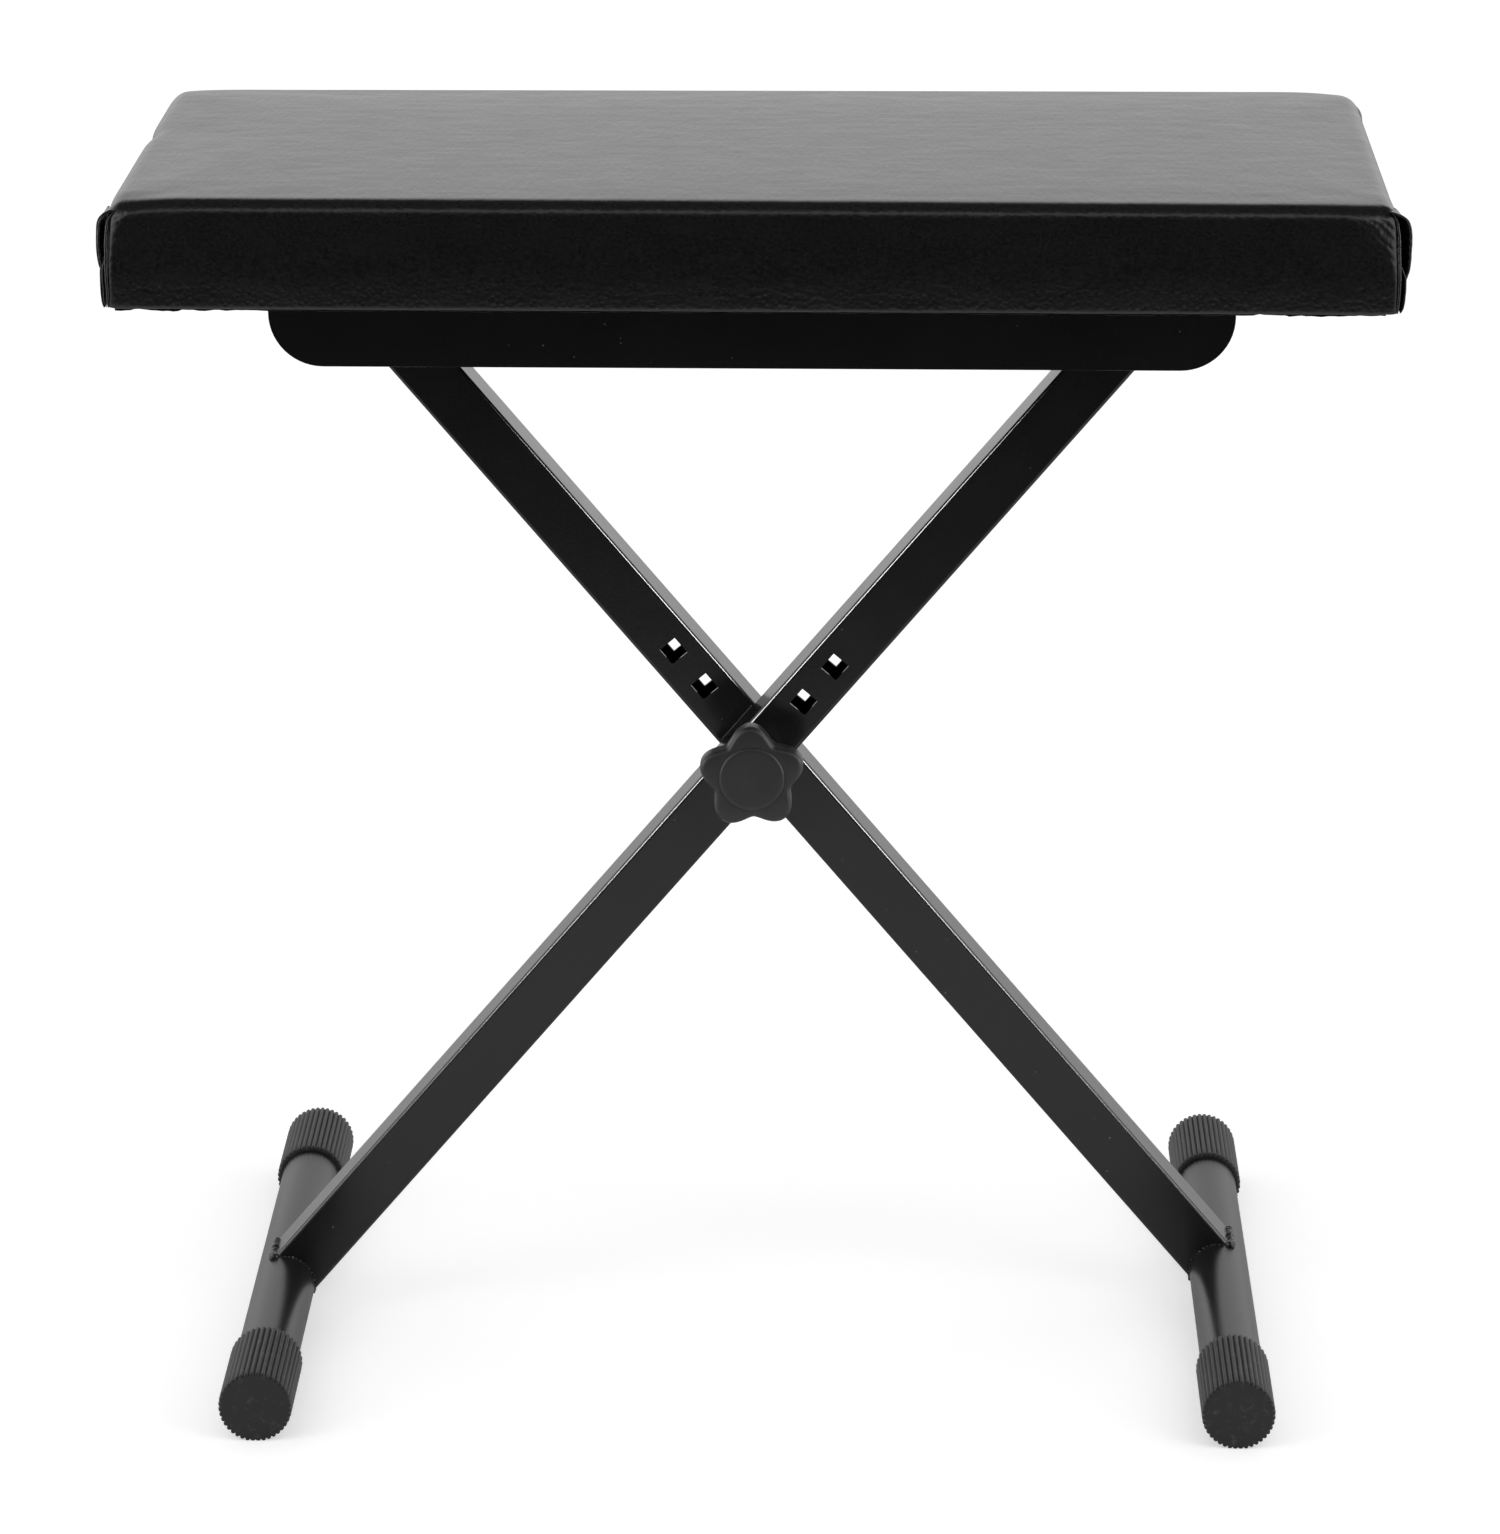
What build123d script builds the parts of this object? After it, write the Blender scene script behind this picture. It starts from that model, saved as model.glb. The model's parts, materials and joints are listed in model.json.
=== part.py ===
"""Folding keyboard bench: a padded seat on two crossed legs that pivot under it.

Frame: millimetres, +Z up, +X along the seat, the knob faces -Y. The origin is on the
floor under the middle of the seat. The front leg hangs from the right-hand pivot and
the rear leg from the left-hand one. A clamp bolt joins them where they cross.
"""
import os
from math import asin, cos, degrees, pi, radians, sin

from build123d import *

# Legs and their pivots
pivot_half_span = 178.0      # pivot axes lie this far either side of the middle
leg_reach = 615.0            # pivot axis to foot axis, along the leg
bolt_reach = 275.0           # pivot axis to the bolt hole in use, along the leg
middle_hole_offset = 35.5    # spare hole for the middle seat height, above the bolt
low_hole_offset = 57.5       # spare hole for the lowest seat height, above the bolt
leg_side = 25.0              # square leg tube, outside
leg_wall = 1.5
leg_corner_radius = 1.8
leg_gap = 0.6                # between the two legs where they cross
square_hole_side = 9.0
weld_gap = 0.1               # between a coped tube end and the tube it is welded to
cope_start = 5.0             # the coped leg ends this far short of the crossed axis

# Cross tubes, bushes and studs at the pivots
cross_tube_diameter = 25.0
cross_tube_wall = 1.5
bush_length = 18.0           # barrel inside the cross tube
bush_flange_thickness = 1.5
bush_flange_diameter = 24.6
bush_fit = 0.05              # radial, bush barrel in cross tube
stud_diameter = 10.0
stud_length = 21.0
stud_chamfer = 1.0
stud_fit = 0.05              # radial, bush bore on stud
pivot_end_play = 0.3         # bush flange to rail

# Feet
foot_tube_diameter = 28.0
foot_tube_wall = 1.5
foot_length = 358.0          # over both caps
cap_diameter = 33.0
cap_length = 58.0
cap_end_thickness = 4.0
cap_end_chamfer = 0.8
cap_fit = 0.05               # radial, cap socket on foot tube
cap_flat_depth = 0.5         # flat worn under each cap, where it stands
rib_count = 40
rib_groove_width = 1.2
rib_groove_depth = 0.7
rib_plain_length = 3.0       # smooth band beside the end face

# Seat
seat_length = 560.0
seat_depth = 268.0
seat_thickness = 47.0        # underside to the top edge
seat_crown = 2.5             # rise of the top's middle above its edge
seat_draw = 3.0              # sides are drawn in by this at the top and the bottom
seat_corner_radius = 7.0
seat_edge_radius = 4.5
crown_width = 85.0           # the crown rises over this width from each edge
side_steps = 6               # facets of the bowed sides, the round edge and the crown
edge_steps = 3
crown_steps = 4
pivot_drop = 24.2            # pivot axis below the seat's underside
vinyl_thickness = 1.0
hem_width = 26.0             # vinyl turned in under the board
hem_gap = 0.3                # hem to the board's raised field
foam_wrap = 6.0              # foam around the board's edge
foam_clearance = 0.3         # foam to the cover
board_thickness = 15.0
dust_cover_thickness = 0.6
dust_cover_inset = 9.0       # from the seat's outline

# Staples through the dust cover and hem
staple_width = 10.0
staple_leg_length = 8.0
staple_wire = 1.0
staple_inset = 21.0          # from the seat's outline
staple_pitch = 70.0

# Rails under the seat
rail_face = 80.0             # outer face of each rail from the middle
rail_length = 427.0
rail_height = 37.6           # below the dust cover
rail_thickness = 2.5
rail_corner_radius = 24.0
rail_flange_width = 24.0     # turned outwards under the seat
rail_flange_corner = 6.0
rail_bend_radius = 3.0
rail_screw_near = 70.0       # screw places along the rail, either side of the middle
rail_screw_far = 185.0
rail_screw_edge = 11.0       # screw axis from the flange's free edge

# Rail screws, washers and tee nuts
screw_diameter = 6.0
screw_length = 17.0          # under the head
screw_head_diameter = 12.0
screw_head_height = 4.0
screw_head_fillet = 1.5
socket_size = 4.0
socket_depth = 2.0
screw_hole_clearance = 0.3   # radial
washer_diameter = 15.0
washer_thickness = 1.2
tee_nut_flange_diameter = 19.0
tee_nut_flange_thickness = 1.5
tee_nut_barrel_diameter = 8.0
tee_nut_barrel_length = 9.0
tee_nut_fit = 0.1            # radial, barrel in board
thread_fit = 0.05            # radial, screw in nut
tee_nut_pocket_clearance = 0.5

# Clamp bolt, washer and knob at the crossing
bolt_diameter = 8.0
bolt_neck_side = 8.6
bolt_neck_length = 4.5
bolt_head_diameter = 20.0
bolt_head_height = 4.9
bolt_cut_gap = 0.3           # the bolt's two halves, where the legs pass each other
knob_washer_diameter = 24.0
knob_washer_thickness = 1.6
knob_washer_fit = 0.2        # radial, on the bolt
knob_seat_gap = 0.1          # washer to leg, and washer to knob
knob_tip_radius = 24.3       # axis to the tip of a lobe
knob_valley_radius = 18.3    # axis to the bottom of a hollow
knob_lobe_radius = 8.8
knob_lobes = 5
knob_turn_at_rest = 2.5      # degrees, one lobe points nearly straight up
knob_hub_diameter = 27.0
knob_hub_length = 21.0
knob_head_thickness = 10.5
knob_edge_radius = 2.0
insert_diameter = 14.0
insert_length = 22.0
thread_engagement = 20.0     # bolt inside the insert
bolt_tip_room = 3.0          # blind hole ahead of the insert
bolt_tip_hole_clearance = 0.5
knob_cap_diameter = 29.6
knob_cap_thickness = 3.0
knob_cap_proud = 1.0
knob_cap_fit = 0.1           # radial, in the knob's recess
knob_cap_edge_radius = 0.7

# Places worked out from the sizes above
lean = degrees(asin(pivot_half_span / bolt_reach))
foot_axis_z = cap_diameter / 2 - cap_flat_depth
foot_x = leg_reach * sin(radians(lean)) - pivot_half_span
pivot_z = foot_axis_z + leg_reach * cos(radians(lean))
bolt_z = pivot_z - bolt_reach * cos(radians(lean))
seat_bottom = pivot_z + pivot_drop
seat_edge_z = seat_bottom + seat_thickness
rail_top = seat_bottom - dust_cover_thickness
lane = leg_gap / 2 + leg_side / 2          # middle plane of each leg from the middle
leg_face = leg_gap / 2 + leg_side          # outer face of each leg
rail_inner = rail_face - rail_thickness
board_length = seat_length - 2 * (seat_draw + vinyl_thickness + foam_wrap)
board_depth = seat_depth - 2 * (seat_draw + vinyl_thickness + foam_wrap)
screw_line = rail_face + rail_flange_width - rail_screw_edge
FRONT = -1                                 # sides along Y
REAR = 1
FRONT_LEG = 1                              # side of each leg's pivot along X
REAR_LEG = -1


def rod(diameter, start, end, x=0.0, z=0.0):
    """A round bar along Y from start to end."""
    middle = (start + end) / 2
    return Pos(x, middle, z) * Rot(90, 0, 0) * Cylinder(diameter / 2, abs(end - start))


def square_bar(side, start, end, z=0.0):
    """A square bar along Y from start to end."""
    return Pos(0, (start + end) / 2, z) * Box(side, abs(end - start), side)


def upright(diameter, bottom, top, x, y):
    """A round bar along Z from bottom to top."""
    return Pos(x, y, (bottom + top) / 2) * Cylinder(diameter / 2, top - bottom)


def slab(length, depth, bottom, top):
    """A flat block centred on the Z axis."""
    return Pos(0, 0, (bottom + top) / 2) * Box(length, depth, top - bottom)


def leg_place(side):
    """Frame of a leg: the pivot axis at its origin and the leg down its -Z."""
    return Pos(side * pivot_half_span, 0, pivot_z) * Rot(0, side * lean, 0)


def screw_places():
    """Axes of the rail screws."""
    along = (rail_screw_near, rail_screw_far)
    return [(sx * x, sy * screw_line) for sy in (FRONT, REAR) for sx in (-1, 1) for x in along]


# Seat pieces

def cushion(inset, bottom):
    """The seat's outer form, set in by a distance: bowed sides, round edge, crowned top."""
    edge_radius = seat_edge_radius - inset
    edge_start = seat_edge_z - inset - edge_radius
    levels = []
    for i in range(side_steps + 1):
        t = i / side_steps
        levels.append((seat_draw * (2 * t - 1) ** 2, bottom + t * (edge_start - bottom)))
    for i in range(1, edge_steps + 1):
        turn = pi / 2 * i / edge_steps
        levels.append((seat_draw + edge_radius * (1 - cos(turn)), edge_start + edge_radius * sin(turn)))
    for i in range(1, crown_steps + 1):
        t = i / crown_steps
        rise = seat_crown * (1 - (1 - t) ** 2)
        levels.append((seat_draw + edge_radius + t * crown_width, edge_start + edge_radius + rise))
    return loft([outline(inset + drawn_in, z, inset) for drawn_in, z in levels], ruled=True)


def outline(setback, z, inset):
    """Rounded rectangle of the seat at one height, set back from its largest outline."""
    sheet = Rectangle(seat_length - 2 * setback, seat_depth - 2 * setback)
    return Pos(0, 0, z) * fillet(sheet.vertices(), seat_corner_radius - inset)


def seat_board():
    top = seat_bottom + board_thickness
    board = slab(board_length, board_depth, seat_bottom + vinyl_thickness, top)
    field = slab(
        board_length - 2 * (hem_width + hem_gap),
        board_depth - 2 * (hem_width + hem_gap),
        seat_bottom,
        seat_bottom + vinyl_thickness,
    )
    board = board + field
    hole = tee_nut_barrel_diameter + 2 * tee_nut_fit
    for x, y in screw_places():
        board -= upright(hole, seat_bottom - 1, top + 1, x, y)
    for leg in staple_legs():
        board -= leg
    return board


def seat_cover():
    cover = cushion(0, seat_bottom) - cushion(vinyl_thickness, seat_bottom + vinyl_thickness)
    opening = slab(
        board_length - 2 * hem_width,
        board_depth - 2 * hem_width,
        seat_bottom - 1,
        seat_bottom + vinyl_thickness + 1,
    )
    cover -= opening
    for leg in staple_legs():
        cover -= leg
    return cover


def seat_foam():
    bottom = seat_bottom + vinyl_thickness
    foam = cushion(vinyl_thickness + foam_clearance, bottom)
    foam -= slab(board_length, board_depth, bottom - 1, seat_bottom + board_thickness)
    pocket = tee_nut_flange_diameter + 2 * tee_nut_pocket_clearance
    pocket_top = seat_bottom + board_thickness + tee_nut_flange_thickness + tee_nut_pocket_clearance
    for x, y in screw_places():
        foam -= upright(pocket, seat_bottom + board_thickness - 1, pocket_top, x, y)
    return foam


def dust_cover():
    sheet = slab(
        seat_length - 2 * dust_cover_inset,
        seat_depth - 2 * dust_cover_inset,
        rail_top,
        seat_bottom,
    )
    hole = screw_diameter + 2 * screw_hole_clearance
    for x, y in screw_places():
        sheet -= upright(hole, rail_top - 1, seat_bottom + 1, x, y)
    for leg in staple_legs():
        sheet -= leg
    return sheet


def staple_places():
    """Middle and direction of each staple along the four sides."""
    half_x = seat_length / 2 - staple_inset
    half_y = seat_depth / 2 - staple_inset
    count_x = int(2 * half_x / staple_pitch)
    count_y = int(2 * half_y / staple_pitch)
    places = []
    for i in range(count_x):
        x = (i - (count_x - 1) / 2) * staple_pitch
        places += [(x, -half_y, 0), (x, half_y, 0)]
    for i in range(count_y):
        y = (i - (count_y - 1) / 2) * staple_pitch
        places += [(-half_x, y, 90), (half_x, y, 90)]
    return places


def staple_legs():
    """The two legs of every staple, reaching up into the board."""
    legs = []
    for x, y, turn in staple_places():
        for end in (-1, 1):
            leg = Pos(end * (staple_width - staple_wire) / 2, 0, rail_top + staple_leg_length / 2)
            legs.append(Pos(x, y, 0) * Rot(0, 0, turn) * leg * Box(staple_wire, staple_wire, staple_leg_length))
    return legs


def cover_staples():
    legs = staple_legs()
    staples = []
    for i, (x, y, turn) in enumerate(staple_places()):
        crown = Pos(0, 0, rail_top - staple_wire / 2) * Box(staple_width, staple_wire, staple_wire)
        staples.append(Pos(x, y, 0) * Rot(0, 0, turn) * crown + legs[2 * i] + legs[2 * i + 1])
    return Compound(children=staples)


# Rails and their fasteners

def rail(side):
    """Folded steel angle: an upright plate with rounded lower corners and a top flange."""
    bottom = rail_top - rail_height
    plate = Pos(0, side * (rail_face - rail_thickness / 2), (rail_top + bottom) / 2)
    plate = plate * Box(rail_length, rail_thickness, rail_height)
    lower = plate.edges().filter_by(Axis.Y).group_by(Axis.Z)[0]
    plate = fillet(lower, rail_corner_radius)
    flange_middle = side * (rail_inner + (rail_flange_width + rail_thickness) / 2)
    flange = Pos(0, flange_middle, rail_top - rail_thickness / 2)
    flange = flange * Box(rail_length, rail_flange_width + rail_thickness, rail_thickness)
    free_corners = flange.edges().filter_by(Axis.Z).sort_by(lambda edge: side * edge.center().Y)[-2:]
    flange = fillet(free_corners, rail_flange_corner)
    angle = plate + flange
    bend = angle.edges().filter_by(Axis.X).sort_by(
        lambda edge: abs(edge.center().Y - side * rail_inner) + abs(edge.center().Z - rail_top)
    )[0]
    angle = fillet(bend, rail_bend_radius)
    hole = screw_diameter + 2 * screw_hole_clearance
    for x, y in screw_places():
        if y * side > 0:
            angle -= upright(hole, rail_top - rail_thickness - 1, rail_top + 1, x, y)
    return angle


def rail_screws():
    washer_bottom = rail_top - rail_thickness - washer_thickness
    screws = []
    for x, y in screw_places():
        head = upright(screw_head_diameter, washer_bottom - screw_head_height, washer_bottom, x, y)
        head = fillet(head.edges().sort_by(Axis.Z)[0], screw_head_fillet)
        socket = Pos(x, y, washer_bottom - screw_head_height)
        socket = socket * extrude(RegularPolygon(socket_size / 2, 6, major_radius=False), socket_depth)
        shank = upright(screw_diameter, washer_bottom, washer_bottom + screw_length, x, y)
        screws.append(head + shank - socket)
    return Compound(children=screws)


def rail_washers():
    top = rail_top - rail_thickness
    bore = screw_diameter + 2 * screw_hole_clearance
    washers = []
    for x, y in screw_places():
        disc = upright(washer_diameter, top - washer_thickness, top, x, y)
        washers.append(disc - upright(bore, top - washer_thickness - 1, top + 1, x, y))
    return Compound(children=washers)


def tee_nuts():
    board_top = seat_bottom + board_thickness
    nuts = []
    for x, y in screw_places():
        flange = upright(
            tee_nut_flange_diameter, board_top, board_top + tee_nut_flange_thickness, x, y
        )
        barrel = upright(tee_nut_barrel_diameter, board_top - tee_nut_barrel_length, board_top, x, y)
        thread = upright(
            screw_diameter + 2 * thread_fit,
            board_top - tee_nut_barrel_length - 1,
            board_top + tee_nut_flange_thickness + 1,
            x,
            y,
        )
        nuts.append(flange + barrel - thread)
    return Compound(children=nuts)


def pivot_studs(side):
    """The front and rear stud on one pivot axis, standing on the rails' inner faces."""
    studs = []
    for end in (FRONT, REAR):
        tip = end * (rail_inner - stud_length)
        stud = rod(stud_diameter, end * rail_inner, tip, side * pivot_half_span, pivot_z)
        tip_edge = stud.edges().sort_by(lambda edge: end * edge.center().Y)[0]
        studs.append(chamfer(tip_edge, stud_chamfer))
    return Compound(children=studs)


# Leg pieces, in the leg's own frame

def leg_tube(side):
    """Square tube, coped to its cross tube and foot tube, with three square holes."""
    y = -side * lane
    outer = Rectangle(leg_side, leg_side)
    outer = fillet(outer.vertices(), leg_corner_radius)
    inner = Rectangle(leg_side - 2 * leg_wall, leg_side - 2 * leg_wall)
    inner = fillet(inner.vertices(), leg_corner_radius - leg_wall)
    length = leg_reach - 2 * cope_start
    tube = Pos(0, y, -cope_start - length) * extrude(outer - inner, length)
    tube -= rod(cross_tube_diameter + 2 * weld_gap, y - leg_side, y + leg_side)
    tube -= rod(foot_tube_diameter + 2 * weld_gap, y - leg_side, y + leg_side, 0, -leg_reach)
    for reach in (bolt_reach, bolt_reach - middle_hole_offset, bolt_reach - low_hole_offset):
        tube -= square_bar(square_hole_side, y - leg_side, y + leg_side, -reach)
    return leg_place(side) * tube


def cross_tube(side):
    half = rail_inner - pivot_end_play - bush_flange_thickness
    bore = cross_tube_diameter - 2 * cross_tube_wall
    tube = rod(cross_tube_diameter, -half, half) - rod(bore, -half - 1, half + 1)
    return leg_place(side) * tube


def pivot_bushes(side):
    barrel_diameter = cross_tube_diameter - 2 * (cross_tube_wall + bush_fit)
    bushes = []
    for end in (FRONT, REAR):
        outside = end * (rail_inner - pivot_end_play)
        shoulder = end * (rail_inner - pivot_end_play - bush_flange_thickness)
        inside = end * (rail_inner - pivot_end_play - bush_flange_thickness - bush_length)
        bush = rod(bush_flange_diameter, outside, shoulder) + rod(barrel_diameter, shoulder, inside)
        bush -= rod(stud_diameter + 2 * stud_fit, outside + end, inside - end)
        bushes.append(leg_place(side) * bush)
    return Compound(children=bushes)


# Feet

def foot_tube(side):
    half = foot_length / 2 - cap_end_thickness
    bore = foot_tube_diameter - 2 * foot_tube_wall
    tube = rod(foot_tube_diameter, -half, half) - rod(bore, -half - 1, half + 1)
    return Pos(-side * foot_x, 0, foot_axis_z) * tube


def foot_cap(side, end):
    """Ribbed rubber cap pushed over one end of a foot tube, with a flat to stand on."""
    outside = end * foot_length / 2
    mouth = end * (foot_length / 2 - cap_length)
    floor = end * (foot_length / 2 - cap_end_thickness)
    cap = rod(cap_diameter, outside, mouth)
    rim = cap.edges().filter_by(GeomType.CIRCLE).sort_by(lambda edge: end * edge.center().Y)[-1]
    cap = chamfer(rim, cap_end_chamfer)
    cap -= rod(foot_tube_diameter + 2 * cap_fit, floor, mouth - end)
    groove_length = cap_length - rib_plain_length + 1
    groove_middle = mouth - end + end * groove_length / 2
    groove = Box(rib_groove_width, groove_length, 2 * rib_groove_depth)
    grooves = [
        Rot(0, (i + 0.5) * 360 / rib_count, 0) * Pos(0, groove_middle, cap_diameter / 2) * groove
        for i in range(rib_count)
    ]
    cap = cap - grooves
    standing = Pos(0, outside, -foot_axis_z - cap_diameter / 2)
    cap -= standing * Box(2 * cap_diameter, 4 * cap_length, cap_diameter)
    return Pos(-side * foot_x, 0, foot_axis_z) * cap


# Clamp at the crossing

def clamp_bolt():
    """Head half of the carriage bolt: head and square neck behind the rear leg."""
    neck_end = leg_face - bolt_neck_length
    head = Pos(0, leg_face, 0) * Rot(-90, 0, 0) * bolt_dome()
    neck = square_bar(bolt_neck_side, neck_end, leg_face)
    shank = rod(bolt_diameter, bolt_cut_gap / 2, neck_end)
    bolt = head + neck + shank
    return Pos(0, 0, bolt_z) * Rot(0, REAR_LEG * lean, 0) * bolt


def bolt_dome():
    """Low dome of the bolt's head, standing on the XY plane."""
    half = bolt_head_diameter / 2
    sphere_radius = (half**2 + bolt_head_height**2) / (2 * bolt_head_height)
    ball = Pos(0, 0, bolt_head_height - sphere_radius) * Sphere(sphere_radius)
    return ball & Pos(0, 0, bolt_head_height) * Box(3 * half, 3 * half, 2 * bolt_head_height)


knob_back = leg_face + 2 * knob_seat_gap + knob_washer_thickness   # knob's rear face, in front
knob_shoulder = knob_back + knob_hub_length
knob_front = knob_shoulder + knob_head_thickness


def bolt_threaded_end():
    """Threaded half of the carriage bolt, through the front leg and into the knob."""
    return rod(bolt_diameter, -bolt_cut_gap / 2, -knob_back - thread_engagement, 0, bolt_z)


def knob_washer():
    front = -leg_face - knob_seat_gap - knob_washer_thickness
    back = -leg_face - knob_seat_gap
    disc = rod(knob_washer_diameter, front, back, 0, bolt_z)
    return disc - rod(bolt_diameter + 2 * knob_washer_fit, front - 1, back + 1, 0, bolt_z)


def star_outline():
    """Star with round lobes and hollows that run smoothly into each other."""
    half_step = pi / knob_lobes
    lobe_centre = knob_tip_radius - knob_lobe_radius
    spread = lobe_centre**2 + knob_valley_radius**2 - knob_lobe_radius**2
    spread -= 2 * lobe_centre * knob_valley_radius * cos(half_step)
    reach = knob_lobe_radius + lobe_centre * cos(half_step) - knob_valley_radius
    hollow_radius = spread / (2 * reach)
    hollow_centre = knob_valley_radius + hollow_radius

    def polar(radius, angle):
        return Vector(radius * cos(angle), radius * sin(angle))

    arcs = []
    for i in range(knob_lobes):
        angle = pi / 2 + radians(knob_turn_at_rest) + 2 * half_step * i
        lobe = polar(lobe_centre, angle)
        before = polar(hollow_centre, angle - half_step)
        after = polar(hollow_centre, angle + half_step)
        following = polar(lobe_centre, angle + 2 * half_step)
        start = lobe + (before - lobe).normalized() * knob_lobe_radius
        end = lobe + (after - lobe).normalized() * knob_lobe_radius
        next_start = following + (after - following).normalized() * knob_lobe_radius
        arcs.append(ThreePointArc(start, polar(knob_tip_radius, angle), end))
        arcs.append(ThreePointArc(end, polar(knob_valley_radius, angle + half_step), next_start))
    return make_face(Curve() + arcs)


def clamp_knob():
    """Star knob: lobed head in front, round hub behind, a recess for its cap."""
    head = Pos(0, -knob_shoulder, bolt_z) * Rot(90, 0, 0) * extrude(star_outline(), knob_head_thickness)
    rims = head.edges().group_by(Axis.Y)
    head = fillet(list(rims[0]) + list(rims[-1]), knob_edge_radius)
    hub = rod(knob_hub_diameter, -knob_back, -knob_shoulder, 0, bolt_z)
    knob = head + hub
    knob -= rod(insert_diameter, -knob_back + 1, -knob_back - insert_length, 0, bolt_z)
    tip_hole = bolt_diameter + 2 * bolt_tip_hole_clearance
    tip_end = -knob_back - insert_length - bolt_tip_room
    knob -= rod(tip_hole, -knob_back, tip_end, 0, bolt_z)
    recess = knob_cap_diameter + 2 * knob_cap_fit
    recess_floor = -knob_front + knob_cap_thickness - knob_cap_proud
    knob -= rod(recess, -knob_front - 1, recess_floor, 0, bolt_z)
    return knob


def knob_insert():
    sleeve = rod(insert_diameter, -knob_back, -knob_back - insert_length, 0, bolt_z)
    bore = bolt_diameter + 2 * thread_fit
    return sleeve - rod(bore, -knob_back + 1, -knob_back - insert_length - 1, 0, bolt_z)


def knob_cap():
    back = -knob_front + knob_cap_thickness - knob_cap_proud
    disc = rod(knob_cap_diameter, -knob_front - knob_cap_proud, back, 0, bolt_z)
    return fillet(disc.edges().sort_by(Axis.Y)[0], knob_cap_edge_radius)


nodes = {
    "seat_cover": seat_cover(),
    "seat_foam": seat_foam(),
    "seat_board": seat_board(),
    "dust_cover": dust_cover(),
    "cover_staples": cover_staples(),
    "front_rail": rail(FRONT),
    "rear_rail": rail(REAR),
    "rail_screws": rail_screws(),
    "rail_washers": rail_washers(),
    "tee_nuts": tee_nuts(),
    "right_pivot_studs": pivot_studs(FRONT_LEG),
    "left_pivot_studs": pivot_studs(REAR_LEG),
    "clamp_bolt_head_half": clamp_bolt(),
    "clamp_bolt_threaded_half": bolt_threaded_end(),
    "knob_washer": knob_washer(),
    "clamp_knob": clamp_knob(),
    "knob_insert": knob_insert(),
    "knob_cap": knob_cap(),
}
for leg_name, foot_name, side in (("front_leg", "left_foot", FRONT_LEG), ("rear_leg", "right_foot", REAR_LEG)):
    nodes[f"{leg_name}_tube"] = leg_tube(side)
    nodes[f"{leg_name}_cross_tube"] = cross_tube(side)
    nodes[f"{leg_name}_bushes"] = pivot_bushes(side)
    nodes[f"{foot_name}_tube"] = foot_tube(side)
    nodes[f"{foot_name}_front_cap"] = foot_cap(side, FRONT)
    nodes[f"{foot_name}_rear_cap"] = foot_cap(side, REAR)

os.makedirs("parts", exist_ok=True)
for name, shape in nodes.items():
    export_step(shape, f"parts/{name}.step")
print(f"{len(nodes)} nodes, lean {lean:.3f}, foot x {foot_x:.2f}, pivot z {pivot_z:.2f}, bolt z {bolt_z:.2f}")
print(f"seat underside {seat_bottom:.2f}, seat edge {seat_edge_z:.2f}, knob front {knob_front + knob_cap_proud:.2f}")
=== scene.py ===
# %% [markdown]
# # A folding keyboard bench
#
# The bench is a padded vinyl seat on two crossed steel legs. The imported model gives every
# piece its true size and place, so this lesson only adds what the eye needs: soft vinyl,
# smooth tubes, ribbed rubber, welds, and a studio to see them in.

# %% Load the frame
import json
import random
from math import atan2, cos, exp, pi, radians, sin, sqrt

import bmesh
import bpy
from mathutils import Matrix, Vector, noise


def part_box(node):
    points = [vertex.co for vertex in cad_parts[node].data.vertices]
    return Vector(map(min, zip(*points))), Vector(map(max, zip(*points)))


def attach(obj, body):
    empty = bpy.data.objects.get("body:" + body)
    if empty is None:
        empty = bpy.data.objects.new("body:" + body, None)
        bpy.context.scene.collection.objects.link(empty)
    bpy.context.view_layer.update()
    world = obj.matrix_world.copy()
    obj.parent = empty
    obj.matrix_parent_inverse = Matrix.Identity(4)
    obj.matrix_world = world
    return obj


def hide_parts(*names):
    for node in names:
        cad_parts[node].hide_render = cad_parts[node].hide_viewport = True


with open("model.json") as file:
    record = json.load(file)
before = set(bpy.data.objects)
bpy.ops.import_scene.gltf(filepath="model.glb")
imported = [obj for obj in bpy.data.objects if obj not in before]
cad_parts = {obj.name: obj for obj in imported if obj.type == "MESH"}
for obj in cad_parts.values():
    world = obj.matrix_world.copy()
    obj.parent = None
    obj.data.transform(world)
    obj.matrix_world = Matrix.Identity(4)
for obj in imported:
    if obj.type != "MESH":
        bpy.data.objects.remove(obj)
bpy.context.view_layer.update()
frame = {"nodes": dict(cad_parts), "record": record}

MM = 0.001
body_of = {node: body for body, nodes in frame["record"]["behaviour"]["bodies"].items()
           for node in nodes}

# %% [markdown]
# ## Camera
#
# A product photographer stands well back with a long lens, so the bench shows little
# perspective. The focal length is known in pixels of a 1534 pixel high picture, and a
# 36 mm sensor turns that into millimetres. Turning about Z, X and Z again gives yaw,
# pitch and roll one after the other, which is easier to read than three Euler angles.

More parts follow.
